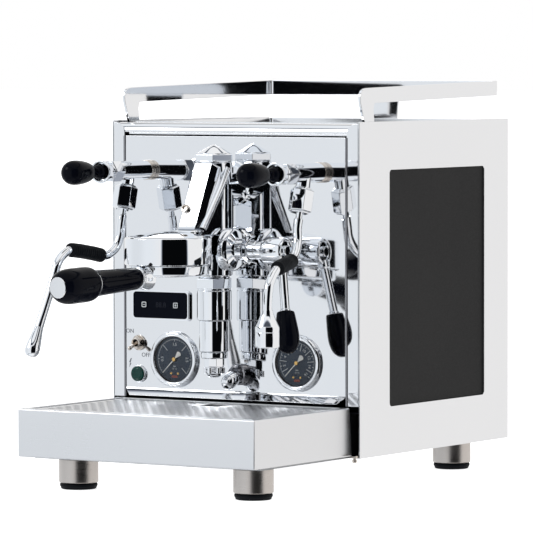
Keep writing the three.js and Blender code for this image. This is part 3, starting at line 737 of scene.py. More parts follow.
class ESPRESSO_OT_sides(bpy.types.Operator):
    """Polished side panels with a window, and the powder-coated insets behind them"""

    bl_idname = "espresso.sides"
    bl_label = "Sides"

    def execute(self, context):
        for name, side in (("left", -1), ("right", 1)):
            low, high, _ = room(f"side_panel_{name}")
            inset_low, inset_high, _ = room(f"side_inset_{name}")
            lap, corner = 4, 4
            outer = rounded(low.y, low.z, high.y, high.z, 1.0)
            opening = rounded(inset_low.y + lap, inset_low.z + lap, inset_high.y - lap, inset_high.z - lap,
                              corner)
            form = Form().window(outer, opening, "x", low.x, high.x)
            place_piece(f"side_sheet_{name}", form, ["polished_steel"], "machine",
                        [f"side_panel_{name}"], edge=sizes().edge)
            outer_face = inset_high.x if side > 0 else inset_low.x
            tray = rounded(inset_low.y + 1, inset_low.z + 1, inset_high.y - 1, inset_high.z - 1, corner)
            span = sorted((outer_face, outer_face - side * 1.1))
            place_piece(f"side_inset_plate_{name}", Form().prism(tray, "x", *span), ["anthracite"], "machine",
                        [f"side_inset_{name}"], edge=0.3 * MM)
            foot = Form()
            foot.block((min(side * 141.6, side * 148.6), -5.5, 33),
                       (max(side * 141.6, side * 148.6), -0.4, 35.2))
            foot.turned([(0, 0), (1.6, 0), (2.4, 0.8), (2.4, 3.2), (1.5, 3.4), (1.5, 6), (0, 6)],
                        (side * 146, -3.4, 28.2), Z, 24)
            place_piece(f"tray_stop_{name}", foot, ["warm_steel"], "machine", edge=0.2 * MM)
        return {"FINISHED"}


class ESPRESSO_OT_back(bpy.types.Operator):
    """Rear panel with its vents and screws, and the mains inlet"""

    bl_idname = "espresso.back"
    bl_label = "Back"

    def execute(self, context):
        coat("rear_panel", "satin_steel")
        coat("power_inlet", "electrics")
        low, high, _ = room("rear_panel")
        screws = Form()
        spots = [(x, z) for x in (low.x + 9, 0, high.x - 9) for z in (low.z + 9, high.z - 9)]
        spots += [(x, z) for x in (low.x + 9, high.x - 9) for z in (140, 250)]
        for x, z in spots:
            screws.turned([(0, 0), (3.4, 0), (3.2, 0.8), (2.4, 1.5), (1.5, 1.7), (1.5, 0.9), (0, 0.9)],
                          (x, high.y + 0.05, z), Y, 32)
        inlet_low, inlet_high, inlet = room("power_inlet")
        for x in (inlet_low.x + 4, inlet_high.x - 4):
            screws.turned([(0, 0), (2.4, 0), (2.2, 0.7), (1.3, 1.2), (1.1, 1.2), (1.1, 0.6), (0, 0.6)],
                          (x, inlet_high.y + 0.05, inlet.z), Y, 24)
        place_piece("rear_screws", screws, ["zinc_steel"], "machine")
        pins = Form()
        for x, z in ((-7, -2), (7, -2), (0, 3)):
            pins.prism(rounded(inlet.x + x - 1, inlet.z + z - 2.2, inlet.x + x + 1, inlet.z + z + 2.2, 0.5,
                               3), "y",
                       inlet_low.y + 4.6, inlet_high.y - 7)
        place_piece("inlet_pins", pins, ["gold"], "machine", edge=0.2 * MM)
        return {"FINISHED"}


class ESPRESSO_OT_inside(bpy.types.Operator):
    """Chassis, boilers, pump, tank and control box, which show through the openings"""

    bl_idname = "espresso.inside"
    bl_label = "Inside"

    def execute(self, context):
        inside = {"chassis_base": "zinc_steel", "steam_boiler": "boiler_steel", "brew_boiler": "boiler_steel",
                  "pump": "zinc_steel", "water_tank": "tank_plastic", "control_box": "electrics",
                  "group_gasket": "black_rubber"}
        for node, finish_name in inside.items():
            coat(node, finish_name)
        return {"FINISHED"}


# ---------------------------------------------------------------- top
def perforated(low, high, top, sheet, pitch, row, hole, stagger=True, gap=None, kind=0):
    """A sheet with rows of holes: hole is an outline of eight points round the middle of a cell.

    Every other row is moved by half a pitch where stagger is set, and gap is a rectangle with no holes."""
    form = Form()
    columns = int((high[0] - low[0]) // pitch) // 2 * 2
    rows = int((high[1] - low[1]) // row) // 2 * 2
    x0 = (low[0] + high[0] - columns * pitch) / 2
    y0 = (low[1] + high[1] - rows * row) / 2
    x1, y1 = x0 + columns * pitch, y0 + rows * row
    bottom = top - sheet

    def quad(ax, ay, bx, by):
        corners = [(ax, ay), (bx, ay), (bx, by), (ax, by)]
        for z, order in ((top, (0, 1, 2, 3)), (bottom, (3, 2, 1, 0))):
            form.add([(*corners[i], z) for i in order], [[0, 1, 2, 3]], kind)

    def cell(ax, ay):
        bx, by = ax + pitch, ay + row
        mx, my = (ax + bx) / 2, (ay + by) / 2
        outer = [(ax, ay), (mx, ay), (bx, ay), (bx, my), (bx, by), (mx, by), (ax, by), (ax, my)]
        inner = [(mx + u, my + v) for u, v in hole]
        rings = [[(*p, top) for p in outer], [(*p, top) for p in inner],
                 [(*p, bottom) for p in inner], [(*p, bottom) for p in outer]]
        form.loft(rings, kind, caps=False)

    for j in range(rows):
        ay = y0 + j * row
        moved = stagger and j % 2
        if moved:
            quad(x0, ay, x0 + pitch / 2, ay + row)
            quad(x1 - pitch / 2, ay, x1, ay + row)
        for i in range(columns - (1 if moved else 0)):
            ax = x0 + i * pitch + (pitch / 2 if moved else 0)
            if gap and ay + row > gap[1] and ay < gap[3] and ax + pitch > gap[0] and ax < gap[2]:
                if ax < gap[0] - 0.01:
                    quad(ax, ay, gap[0], ay + row)
                elif ax + pitch > gap[2] + 0.01:
                    quad(gap[2], ay, ax + pitch, ay + row)
                continue
            cell(ax, ay)
    for ax, ay, bx, by in ((low[0], low[1], high[0], y0), (low[0], y1, high[0], high[1]),
                           (low[0], y0, x0, y1), (x1, y0, high[0], y1)):
        quad(ax, ay, bx, by)
    edge = [(low[0], low[1]), (high[0], low[1]), (high[0], high[1]), (low[0], high[1])]
    form.loft([[(*p, top) for p in edge], [(*p, bottom) for p in edge]], kind, caps=False)
    return form


class ESPRESSO_OT_top(bpy.types.Operator):
    """Top frame and the sunk, perforated cup tray"""

    bl_idname = "espresso.top"
    bl_label = "Top"

    def execute(self, context):
        low, high, _ = room("top_frame")
        tray_low, tray_high, _ = room("cup_tray")
        dish = 362.7  # top of the sunk floor
        sheet = 1.3
        frame_top = dish - sheet - 0.4
        outer = rounded(low.x, low.y, high.x, high.y, 1.0)
        inner = rounded(low.x + 17, low.y + 14, high.x - 17, high.y - 14, 6.0)
        form = Form().window(outer, inner, "z", frame_top - 1.6, frame_top)
        for side in (-1, 1):
            for span in ((19, 40), (262, 284)):
                ends = sorted((side * 141.2, side * 144.8))
                form.block((ends[0], span[0], frame_top), (ends[1], span[1], 365.2))
        place_piece("top_shelf", form, ["satin_steel"], "machine", ["top_frame"],
                    edge=sizes().edge)

        pitch, radius = sizes().hole_pitch / MM, sizes().hole / MM / 2
        hole = arc((0, 0), radius, -135, 180, 7)
        x, y0, y1 = tray_high.x, tray_low.y, tray_high.y
        form = perforated((-x + 2, y0 + 2), (x - 2, y1 - 2), dish, sheet, pitch, pitch * 0.87, hole)
        rim_top, wall = 368.0, 1.2
        steps = [(wall, dish - sheet), (0, dish - sheet + 0.5), (0, rim_top - 0.4), (0.4, rim_top),
                 (wall - 0.4, rim_top), (wall, rim_top - 0.4), (wall + 0.4, dish)]
        rings = []
        for step, z in steps:
            radius = max(0.6, 5 - step)
            rings.append([(u, v, z) for u, v in rounded(-x + step, y0 + step, x - step, y1 - step, radius)])
        form.loft(rings, caps=False)
        place_piece("cup_tray_sheet", form, ["polished_steel"], "cup_tray", ["cup_tray"])
        return {"FINISHED"}


class ESPRESSO_OT_rail(bpy.types.Operator):
    """Polished rail round the cup tray: one bent strip on two legs and a rear bracket"""

    bl_idname = "espresso.rail"
    bl_label = "Rail"

    def execute(self, context):
        low, high, _ = room("cup_rail")
        sheet, corner = 3.0, 8.0
        front_low, rear_low = 387.0, 393.0
        front_high, rear_high = 402.5, high.z
        join_y = 44.0
        outer, back = high.x, high.y

        def heights(y):
            share = (y - low.y) / (back - low.y)
            return front_low + (rear_low - front_low) * share, front_high + (rear_high - front_high) * share

        half_path = [(outer, join_y), (outer, back - corner)]
        half_path += arc((outer - corner, back - corner), corner, 0, 90, 10)[1:]
        path = half_path + [(-x, y) for x, y in reversed(half_path)]
        rings = []
        for i, (px, py) in enumerate(path):
            a, b = path[max(0, i - 1)], path[min(len(path) - 1, i + 1)]
            if 0 < i < len(path) - 1:
                before = (Vector((px, py)) - Vector(a)).normalized()
                after = (Vector(b) - Vector((px, py))).normalized()
                along = (before + after).normalized()
            else:
                along = (Vector(b) - Vector(a)).normalized()
            ix, iy = px - along.y * sheet, py + along.x * sheet
            z0, z1 = heights(py)
            rings.append([(px, py, z0), (px, py, z1), (ix, iy, z1), (ix, iy, z0)])
        form = Form().loft(rings)
        z0, z1 = heights(join_y)
        foot = low.z
        leg = [(21, foot), (38, foot), (36.2, front_low - 6), (37.2, front_low - 1.6), (39, front_low + 0.4),
               (join_y, z0), (join_y, z1), (24, front_high + 0.2), (18.5, front_high - 0.4),
               (14, front_high - 2.4), (11.4, front_high - 5.6), (10.7, front_high - 9.5),
               (11.2, front_high - 14), (13.2, front_low - 4), (16.4, front_low - 13)]
        for side in (-1, 1):
            span = sorted((side * outer, side * (outer - sheet)))
            form.prism(leg, "x", *span)
        bracket = [(-19, foot), (19, foot), (22, rear_low + 1), (-22, rear_low + 1)]
        form.prism([(x, z) for x, z in bracket], "y", back - sheet - 0.05, back - 0.05)
        place_piece("rail_strip", form, ["mirror_steel"], "machine", ["cup_rail"],
                    edge=0.45 * MM)
        screws = Form()
        for x in (-11, 11):
            screws.turned([(0, 0), (2.6, 0), (2.6, 0.8), (2.0, 1.5), (0, 1.7)], (x, back + 0.05, foot + 5),
                          Y, 32)
        place_piece("rail_screws", screws, ["chrome"], "machine")
        return {"FINISHED"}


class ESPRESSO_OT_feet(bpy.types.Operator):
    """Brushed feet on rubber pads"""

    bl_idname = "espresso.feet"
    bl_label = "Feet"

    def execute(self, context):
        for spot in ("front_left", "front_right", "rear_left", "rear_right"):
            low, high, middle = room(f"foot_{spot}")
            radius, height = (high.x - low.x) / 2, high.z - low.z
            profile = [(0, 0), (radius - 1.2, 0), (radius, 0.9), (radius, height - 1.6),
                       (radius - 0.7, height - 0.8), (radius - 0.7, height), (0, height)]
            shank = Form().turned(profile, (middle.x, middle.y, low.z), Z)
            place_piece(f"foot_shank_{spot}", shank, ["brushed_steel"], "machine",
                        [f"foot_{spot}"], edge=0.25 * MM)
            pad_low, pad_high, pad = room(f"foot_pad_{spot}")
            radius, height = (pad_high.x - pad_low.x) / 2, pad_high.z - pad_low.z
            profile = [(0, 0), (radius - 2.2, 0), (radius - 1.2, 0.6), (radius - 0.9, 2), (radius, 3.2),
                       (radius, height - 0.8), (radius - 0.8, height), (0, height)]
            place_piece(f"foot_tread_{spot}", Form().turned(profile, (pad.x, pad.y, pad_low.z), Z),
                        ["black_rubber"],
                        "machine", [f"foot_pad_{spot}"], edge=0.3 * MM)
        return {"FINISHED"}


# ---------------------------------------------------------------- drip tray
class ESPRESSO_OT_drip_tray(bpy.types.Operator):
    """Drip tray: folded front and sides, a ledge for the grid and a basin"""

    bl_idname = "espresso.drip_tray"
    bl_label = "Drip tray"

    def execute(self, context):
        low, high, _ = room("drip_tray")
        grid_low, grid_high, _ = room("drip_grid")
        w, front, bottom, top = high.x, low.y, low.z, high.z
        mouth_x, mouth_front, mouth_back = grid_high.x + 0.5, grid_low.y - 0.5, grid_high.y + 0.5
        sheet, fold = 1.5, 1.8
        form = Form()

        def folded(face):
            """Section of a folded wall: distance in from its outer face, and height."""
            outer = [(face, bottom)] + arc((fold, bottom + fold), fold, 270, 180, 5)
            outer += arc((fold, top - fold), fold, 180, 90, 5) + [(face, top)]
            inner = [(face, top - 3.4), (face - sheet, top - 3.4), (face - sheet, top - sheet),
                     (fold, top - sheet), (sheet, top - fold), (sheet, bottom + fold), (fold, bottom + sheet),
                     (face, bottom + sheet)]
            return outer + inner

        wall = folded(mouth_front - front)
        rings = []
        for side in (-1, 1):
            ring = []
            for depth, z in wall:
                mitre = max(depth - 0.9, 0)
                leans = side > 0 and z < top - 2 and depth < 2
                slope = 0.6 + 1.9 * (z - bottom) / (top - bottom) if leans else 0.1
                ring.append((side * (w - mitre - slope), front + depth, z))
            rings.append(ring)
        form.loft(rings)
        wall = folded(w - mouth_x)
        for side in (-1, 1):
            rings = []
            for end in (0, 1):
                ring = []
                for depth, z in wall:
                    rear = -0.6 - 4.2 * (z - bottom) / (top - bottom)
                    y = rear if end else front + 0.5 + max(depth - 0.4, 0)
                    ring.append((side * (w - depth), y, z))
                rings.append(ring)
            form.loft(rings)
        form.block((-mouth_x - 6, mouth_back, top - 3.4), (mouth_x + 6, -1.4, top))
        place_piece("tray_skin", form, ["satin_steel"], "drip_tray", ["drip_tray"],
                    edge=0.3 * MM)

        # The basin takes the near-black electrics finish so the gaps beside the tray read dark: painted
        # shade.
        basin = Form()
        inner = w - 5
        ledge = grid_low.z - 0.25
        outer_ring = rounded(-inner, front + 5, inner, high.y, 3)
        basin.window(outer_ring, rounded(-inner + 1.2, front + 6.2, inner - 1.2, high.y - 1.2, 2), "z",
                     bottom + 1, top - 4)
        basin.window(rounded(-inner + 0.4, front + 5.4, inner - 0.4, -1.6, 3),
                     rounded(-mouth_x + 4, mouth_front + 4, mouth_x - 4, mouth_back - 4, 2), "z",
                     ledge - 1.2, ledge)
        basin.block((-inner + 0.5, front + 5.5, bottom + 0.4), (inner - 0.5, high.y - 0.5, bottom + 1.6))
        place_piece("tray_basin_shade_black", basin, ["electrics"], "drip_tray", edge=0.3 * MM)
        return {"FINISHED"}


class ESPRESSO_OT_drip_grid(bpy.types.Operator):
    """Drip grid with staggered slanted slots and a square finger hole"""

    bl_idname = "espresso.drip_grid"
    bl_label = "Drip grid"

    def execute(self, context):
        low, high, _ = room("drip_grid")
        pitch, row = sizes().grid_pitch / MM, sizes().grid_row / MM
        sheet = high.z - low.z
        hole, hole_y = 12.5, -37.0
        reach, lean, narrow = pitch * 0.36, 0.55, row * 0.27
        slot = [(-reach, -narrow - lean), (0, -narrow * 1.1), (reach * 0.8, -narrow + lean), (reach, lean),
                (reach, narrow + lean), (0, narrow * 1.1), (-reach * 0.8, narrow - lean), (-reach, -lean)]
        rows = int((high.y - low.y - 8) // row) // 2 * 2
        y0 = (low.y + high.y - rows * row) / 2
        first = int((hole_y - hole - 2 - y0) // row)
        count = math.ceil((hole_y + hole + 2 - y0) / row) - first
        gap = (-2 * pitch, y0 + first * row, 2 * pitch, y0 + (first + count) * row)
        form = perforated((low.x, low.y), (high.x, high.y), high.z, sheet, pitch, row, slot,
                          gap=(gap[0], gap[1] + 0.01, gap[2], gap[3] - 0.01))
        outer = [(gap[0], gap[1]), (gap[2], gap[1]), (gap[2], gap[3]), (gap[0], gap[3])]
        inner = [(-hole, hole_y - hole), (hole, hole_y - hole), (hole, hole_y + hole), (-hole, hole_y + hole)]
        form.window(outer, inner, "z", low.z, high.z)
        place_piece("grid_sheet", form, ["satin_steel"], "drip_grid", ["drip_grid"])
        return {"FINISHED"}


# ---------------------------------------------------------------- controls on the front panel
class ESPRESSO_OT_display(bpy.types.Operator):
    """Temperature display with its bezel, digits and two keys"""

    bl_idname = "espresso.display"
    bl_label = "Display"

    def execute(self, context):
        low, high, middle = room("display_housing")
        corner, bezel = 4.0, 2.0
        outer = rounded(low.x, low.z, high.x, high.z, corner)
        pane = rounded(low.x + bezel, low.z + bezel, high.x - bezel, high.z - bezel, corner - 0.6)
        form = Form()
        form.window(outer, pane, "y", low.y + 0.7, -0.2, kind=0)
        shoulder = inset(outer, 0.7)
        form.window(shoulder, pane, "y", low.y, low.y + 0.7, kind=0)
        form.prism(pane, "y", low.y + 1.1, -0.4, kind=1)
        form.letters("88.8", 7.5, (middle.x, low.y + 1.05, middle.z), X, Z, 0.1, kind=2)
        place_piece("display_body", form, ["chrome", "screen", "print_faint"], "machine",
                    ["display_housing"], crease=40)
        for name, sign in (("button_minus", "-"), ("button_plus", "+")):
            low, high, middle = room(name)
            half = (high.x - low.x) / 2
            outline = rounded(middle.x - half, middle.z - half, middle.x + half, middle.z + half, 1.4)
            key = Form().prism(outline, "y", low.y + 0.35, high.y, kind=0)
            frame_line = rounded(middle.x - half + 0.2, middle.z - half + 0.2, middle.x + half - 0.2,
                                 middle.z + half - 0.2, 1.3)
            key.window(frame_line, inset(frame_line, 0.75), "y", low.y + 0.15, low.y + 0.5, kind=1)
            arm = 1.35
            bars = [(-arm, -0.3, arm, 0.3)] + ([(-0.3, -arm, 0.3, arm)] if sign == "+" else [])
            for u0, v0, u1, v1 in bars:
                key.prism(rounded(middle.x + u0, middle.z + v0, middle.x + u1, middle.z + v1, 0.15, 2), "y",
                          low.y + 0.15, low.y + 0.5, kind=1)
            place_piece(f"key_{name[7:]}", key, ["screen", "print_white"], name, [name])
        return {"FINISHED"}


DIAL_START, DIAL_END = 225, -45  # counterclockwise from the right, in degrees


def dial_point(centre, radius, share):
    angle = math.radians(DIAL_START + (DIAL_END - DIAL_START) * share)
    return centre.x + radius * math.cos(angle), centre.z + radius * math.sin(angle)


def build_gauge(name, steps, labels, minor):
    low, high, middle = room(f"{name}_gauge_case")
    radius, front = (high.x - low.x) / 2, low.y
    centre = Vector((middle.x, 0, middle.z))
    mouth, dial = 23.6, -0.9
    forward = -Y
    case = Form().ring([(radius - 1, 0.3), (radius - 1, 0.9), (radius - 0.2, 1.3), (radius, 2.0),
                        (radius - 0.2, 3.0), (radius - 1, -front - 0.8), (radius - 2.2, -front - 0.15),
                        (radius - 3.4, -front), (mouth + 0.8, -front - 0.35), (mouth + 0.1, -front - 0.8),
                        (mouth, -front - 1.3), (mouth, 0.3)],
                       centre, forward)
    place_piece(f"{name}_gauge_rim", case, ["chrome"], "machine", [f"{name}_gauge_case"],
                crease=50)

    face = Form()
    face.turned([(0, 0.35), (mouth - 0.1, 0.35), (mouth - 0.1, -dial), (0, -dial)], centre, forward, kind=0)
    face.ring([(mouth - 0.7, -dial), (mouth - 0.05, -dial), (mouth - 0.05, 3.2), (mouth - 0.4, 3.3)],
              centre, forward, kind=4)
    flat = dial - 0.02
    line = 0.26
    arc_steps = 60
    for i in range(arc_steps):
        ring = []
        for share in (i / arc_steps, (i + 1) / arc_steps):
            for r in ((20.3, 20.3 + line) if share == i / arc_steps else (20.3 + line, 20.3)):
                x, z = dial_point(centre, r, share)
                ring.append((x, flat - 0.06, z))
        face.add(ring, [[0, 1, 2, 3]], 1)

    def tick(share, inner, outer, width):
        a = Vector(dial_point(centre, inner, share))
        b = Vector(dial_point(centre, outer, share))
        across = (b - a).normalized().orthogonal() * width / 2
        corners = [a + across, b + across, b - across, a - across]
        face.prism([tuple(c) for c in corners], "y", flat - 0.08, flat, kind=1)

    for i in range(steps + 1):
        tick(i / steps, 12.5 if str(i) not in labels else 18.4, 20.5, 0.6)
    for i in range(minor + 1):
        tick(i / minor, 19.2, 20.4, 0.28)
    for i in range(steps + 1):
        if str(i) in labels:
            x, z = dial_point(centre, 15.2, i / steps)
            out = Vector((x - centre.x, 0, z - centre.z)).normalized()
            face.letters(labels[str(i)], 4.4, (x, flat - 0.05, z), (out.z, 0, -out.x), out, 0.1, kind=1)
    face.letters("bar", 2.6, (centre.x, flat - 0.05, centre.z - 7.2), X, Z, 0.1, kind=1)
    face.letters("CL 1.6", 2.0, (centre.x, flat - 0.05, centre.z - 9.8), X, Z, 0.1, kind=1)
    face.prism(rounded(centre.x - 3.6, centre.z - 19, centre.x + 3.6, centre.z - 16.6, 0.8, 3), "y",
               flat - 0.1, flat, kind=3)
    for x in (-4.2, 4.2):
        face.turned([(0, 0), (1.3, 0), (1.3, 0.3), (0.9, 0.6), (0, 0.65)],
                    (centre.x + x, flat, centre.z - 14.6), forward, 24, kind=2)
    place_piece(f"{name}_gauge_dial", face, ["dial", "print_white", "gold", "print_red", "electrics"],
                "machine")

    glass = Form().turned([(0, 3.5), (mouth - 0.1, 3.5), (mouth - 0.1, 3.8), (0, 3.8)], centre, forward)
    place_piece(f"{name}_gauge_glass", glass, ["glass"], "machine")

    pivot = Vector((centre.x, dial - 1.1, centre.z))
    rest = math.radians(DIAL_START)
    out = Vector((math.cos(rest), 0, math.sin(rest)))
    side = Vector((-out.z, 0, out.x))
    outline = [(19.8, 0), (19, 0.28), (2, 0.62), (0, 0.8), (-3.2, 0.75), (-8.4, 2.9), (-9.8, 1.6), (-10.2, 0),
               (-9.8, -1.6), (-8.4, -2.9), (-3.2, -0.75), (0, -0.8), (2, -0.62), (19, -0.28)]
    blade = Form()
    blade.loft([[pivot + out * u + side * v + Y * w for u, v in outline] for w in (-0.25, 0.25)], 0)
    blade.turned([(0, -0.6), (2.3, -0.6), (2.3, 0.7), (1.9, 1.1), (0.8, 1.25), (0, 1.25)], pivot, forward,
                 32, kind=1)
    place_piece(f"{name}_needle_blade", blade, ["needle", "gold"], f"{name}_gauge_needle",
                [f"{name}_gauge_needle"])


class ESPRESSO_OT_gauges(bpy.types.Operator):
    """Boiler and pump pressure gauges: chrome case, printed dial, glass and needle"""

    bl_idname = "espresso.gauges"
    bl_label = "Gauges"

    def execute(self, context):
        build_gauge("boiler", 6, {"1": "0.5", "3": "1.5", "5": "2.5"}, 30)
        build_gauge("pump", 16, {str(i): str(i) for i in range(2, 17, 2)}, 32)
        return {"FINISHED"}


class ESPRESSO_OT_switch(bpy.types.Operator):
    """Toggle switch with its markings, and the pilot lamp"""

    bl_idname = "espresso.switch"
    bl_label = "Switch and lamp"

    def execute(self, context):
        _, _, middle = room("power_switch_base")
        centre = Vector((middle.x, 0, middle.z))
        forward = -Y
        base = Form()
        base.turned([(0, 0.3), (8, 0.3), (8, 1.4), (7.4, 1.9), (0, 1.9)], centre, forward, 64)
        base.hexagon(12, 3, centre + forward * 1.8, forward, Z, chamfer=0.8)
        base.ring([(5.2, 4.6), (5.2, 7.2), (4.9, 7.7), (3.9, 7.7), (3.6, 7.2), (3.4, 4.2)], centre, forward,
                  48)
        for i in range(3):
            base.ring([(5.15, 5.0 + i * 0.8), (5.45, 5.25 + i * 0.8), (5.15, 5.5 + i * 0.8),
                       (4.9, 5.25 + i * 0.8)],
                      centre, forward, 48)
        base.turned([(0, 4.4), (3.9, 4.4), (3.9, 4.9), (0, 4.9)], centre, forward, 32, kind=1)
        place_piece("switch_bushing", base, ["warm_steel", "black_rubber"], "machine",
                    ["power_switch_base"])
        droop = math.radians(20)
        direction = Vector((0, -math.cos(droop), -math.sin(droop)))
        lever = [(0, -1.5), (1.9, -1.2), (2.4, 0.2), (1.7, 1.8), (1.25, 3.4), (1.5, 7), (2.1, 13),
                 (2.25, 14.6), (2.0, 15.6), (1.2, 16.2), (0, 16.3)]
        place_piece("switch_lever", Form().turned(lever, centre + Vector((0, -4, 0)), direction, 40),
                    ["warm_steel"],
                    "power_switch_lever", ["power_switch_lever"], crease=60)
        marks = Form()
        marks.letters("ON", 6.2, (centre.x - 11.6, -0.12, centre.z + 11.6), X, Z, 0.12)
        marks.letters("OFF", 6.2, (centre.x + 8.3, -0.12, centre.z - 12.6), X, Z, 0.12)
        x, z = centre.x - 11.5, centre.z - 21
        bolt = [(0.9, 4.6), (-1.3, 0.3), (-0.1, 0.3), (-1.0, -4.8), (1.5, -0.5), (0.2, -0.5), (2.0, 4.6)]
        marks.prism([(x + u, z + v) for u, v in bolt], "y", -0.16, -0.04)
        place_piece("switch_marks", marks, ["print_grey"], "machine")

        _, _, middle = room("pilot_lamp")
        centre = Vector((middle.x, 0, middle.z))
        lamp = Form()
        lamp.ring([(6.5, 0.3), (8.6, 0.3), (9, 0.8), (9, 1.9), (8.5, 2.5), (8.0, 2.6), (7.6, 2.2),
                   (6.5, 2.2)], centre,
                  forward, 64, kind=0)
        lens = [(0, 1.2), (7.6, 1.2), (7.8, 1.6), (7.8, 4.0), (7.3, 4.7), (6.2, 5.0), (5.9, 4.8), (5.0, 5.1),
                (4.7, 4.9), (3.4, 5.25), (3.1, 5.05), (1.8, 5.35), (1.5, 5.2), (0, 5.5)]
        lamp.turned(lens, centre, forward, 64, kind=1)
        place_piece("lamp_lens", lamp, ["chrome", "lens"], "machine", ["pilot_lamp"], crease=50)
        return {"FINISHED"}


# ---------------------------------------------------------------- steam and hot water
LEAN = math.radians(14)
NUT_UP = Vector((0, math.sin(LEAN), math.cos(LEAN)))
TUBE = 4.6
WAND_GRIP = 7.2
STEAM_BENDS = [(107.2, -48.5, 252), (108.5, -54, 240), (110.4, -67, 233), (112.5, -92, 236), (114, -113, 239),
               (115.3, -128, 239.5), (116.5, -143, 230), (117.7, -154, 205), (119.2, -171, 170),
               (120.2, -180, 150)]
WATER_BENDS = [(107.5, -48.5, 252), (109.8, -56, 240), (112.5, -68, 232.5), (117.5, -88, 229.5),
               (122, -111, 225), (124.6, -127, 212), (125, -131, 196), (125, -131.5, 184)]
WANDS = (
    {"name": "steam", "side": -1, "bends": STEAM_BENDS, "grip": (16 / 60, 30 / 60), "nut_turn": 0.0},
    {"name": "water", "side": 1, "bends": WATER_BENDS, "grip": (20 / 60, 38 / 60), "nut_turn": -0.21},
)


def nut_point(side, distance):
    """A point on the leaning axis of a wand nut, from the middle of its lower face."""
    return Vector((side * 106.5, -43.5, 278.5)) + NUT_UP * distance


class ESPRESSO_OT_valves(bpy.types.Operator):
    """Steam and hot water valves: barrel, cup, outlet, nut and joystick"""

    bl_idname = "espresso.valves"
    bl_label = "Valves"

    def execute(self, context):
        forward = -Y
        for wand in WANDS:
            name, side = wand["name"], wand["side"]
            low, _, _ = room(f"{name}_valve_body")
            _, _, knob_middle = room(f"{name}_joystick")
            centre = Vector((knob_middle.x, 0, knob_middle.z))
            rim = -low.y
            body = Form()
            body.turned([(0, 0.3), (10.3, 0.3), (10.3, 1.4), (9.9, 1.7), (9.9, 2.2), (10.3, 2.5),
                         (10.3, 4.2), (9.9, 4.5), (9.9, 5), (10.3, 5.3), (10.3, 6.6), (9.9, 7),
                         (0, 7)], centre, forward, kind=1)
            body.turned([(0, 7), (9.8, 7), (9.8, 55.4), (10.3, 56), (10.3, 57.6), (0, 57.6)], centre, forward)
            body.hexagon(20.6, 15, centre + forward * 57.6, forward, X, chamfer=0.9)
            body.turned([(0, 72.6), (9.7, 72.6), (9.4, 73.8), (9.6, 76), (10.6, 81), (11.5, rim - 2.6),
                         (11.8, rim - 1.2), (11.7, rim - 0.3), (11.2, rim), (9.9, rim), (9.3, rim - 0.8),
                         (8.2, rim - 3.5), (7, rim - 7), (0, rim - 8)], centre, forward)
            body.turned([(0, 0), (7.4, 0), (7.4, 15), (0, 15)], nut_point(side, 25), NUT_UP, 64)
            place_piece(f"{name}_valve", body, ["chrome", "warm_steel"], "machine",
                        [f"{name}_valve_body"], edge=0.2 * MM)
            nut = Form()
            radius = 21 / math.sqrt(3)
            nut.turned([(6.9, 0.3), (9.4, 0.3), (9.6, 0.8), (9.9, 1.5), (radius - 1, 1.6), (radius, 2.8),
                        (radius, 23), (radius - 1.2, 24.4), (9.6, 24.6), (9.6, 26), (7, 26), (7, 0.3)][:-1],
                       nut_point(side, 0), NUT_UP, 6, corner=Matrix.Rotation(wand["nut_turn"], 3, "Z") @ -Y)
            place_piece(f"{name}_nut", nut, ["chrome"], "machine", [f"{name}_wand_nut"],
                        edge=0.35 * MM)
            ball = 7.4
            knob = [(ball * math.cos(t), ball * math.sin(t)) for t in
                    (math.radians(-90 + 144 * i / 16) for i in range(17))]
            knob[0] = (0, -ball)
            knob += [(4.3, 7.6), (4.5, 9), (6.4, 13.5), (8.2, 17.6), (9.8, 22), (11, 27), (11.8, 32.5),
                     (12.3, 38), (12.4, 43), (12.1, 47.4), (11, 51), (9, 54), (6.2, 56.2), (3.1, 57.4),
                     (1.2, 57.6), (0, 57.6)]
            smooth_knob = [(max(0.0, p.x), p.y) for p in eased([(r, a, 0) for r, a in knob], 2)]
            smooth_knob[0], smooth_knob[-1] = (0, smooth_knob[0][1]), (0, smooth_knob[-1][1])
            place_piece(f"{name}_knob", Form().turned(smooth_knob, (centre.x, low.y - 1, centre.z), forward),
                        ["black_handle"], f"{name}_joystick", [f"{name}_joystick"], crease=70)
        return {"FINISHED"}


def stretch(path, start, end, count=90):
    """Evenly spaced points on the part of a path between two shares of its length."""
    lengths = [0.0]
    for a, b in zip(path, path[1:]):
        lengths.append(lengths[-1] + (b - a).length)
    spots, i = [], 0
    for k in range(count + 1):
        wanted = lengths[-1] * (start + (end - start) * k / count)
        while i < len(path) - 2 and lengths[i + 1] < wanted:
            i += 1
        spots.append(path[i].lerp(path[i + 1], (wanted - lengths[i]) / (lengths[i + 1] - lengths[i])))
    return spots


def ribbed(share, radius, ribs):
    """Radius of a rubber grip: fine ribs, and rounded ends."""
    end = min(share, 1 - share)
    rib = 0.16 * math.sin(share * ribs * TURN)
    return radius * (0.84 + 0.16 * min(1.0, end / 0.02) ** 0.5) + (rib if end > 0.04 else 0)


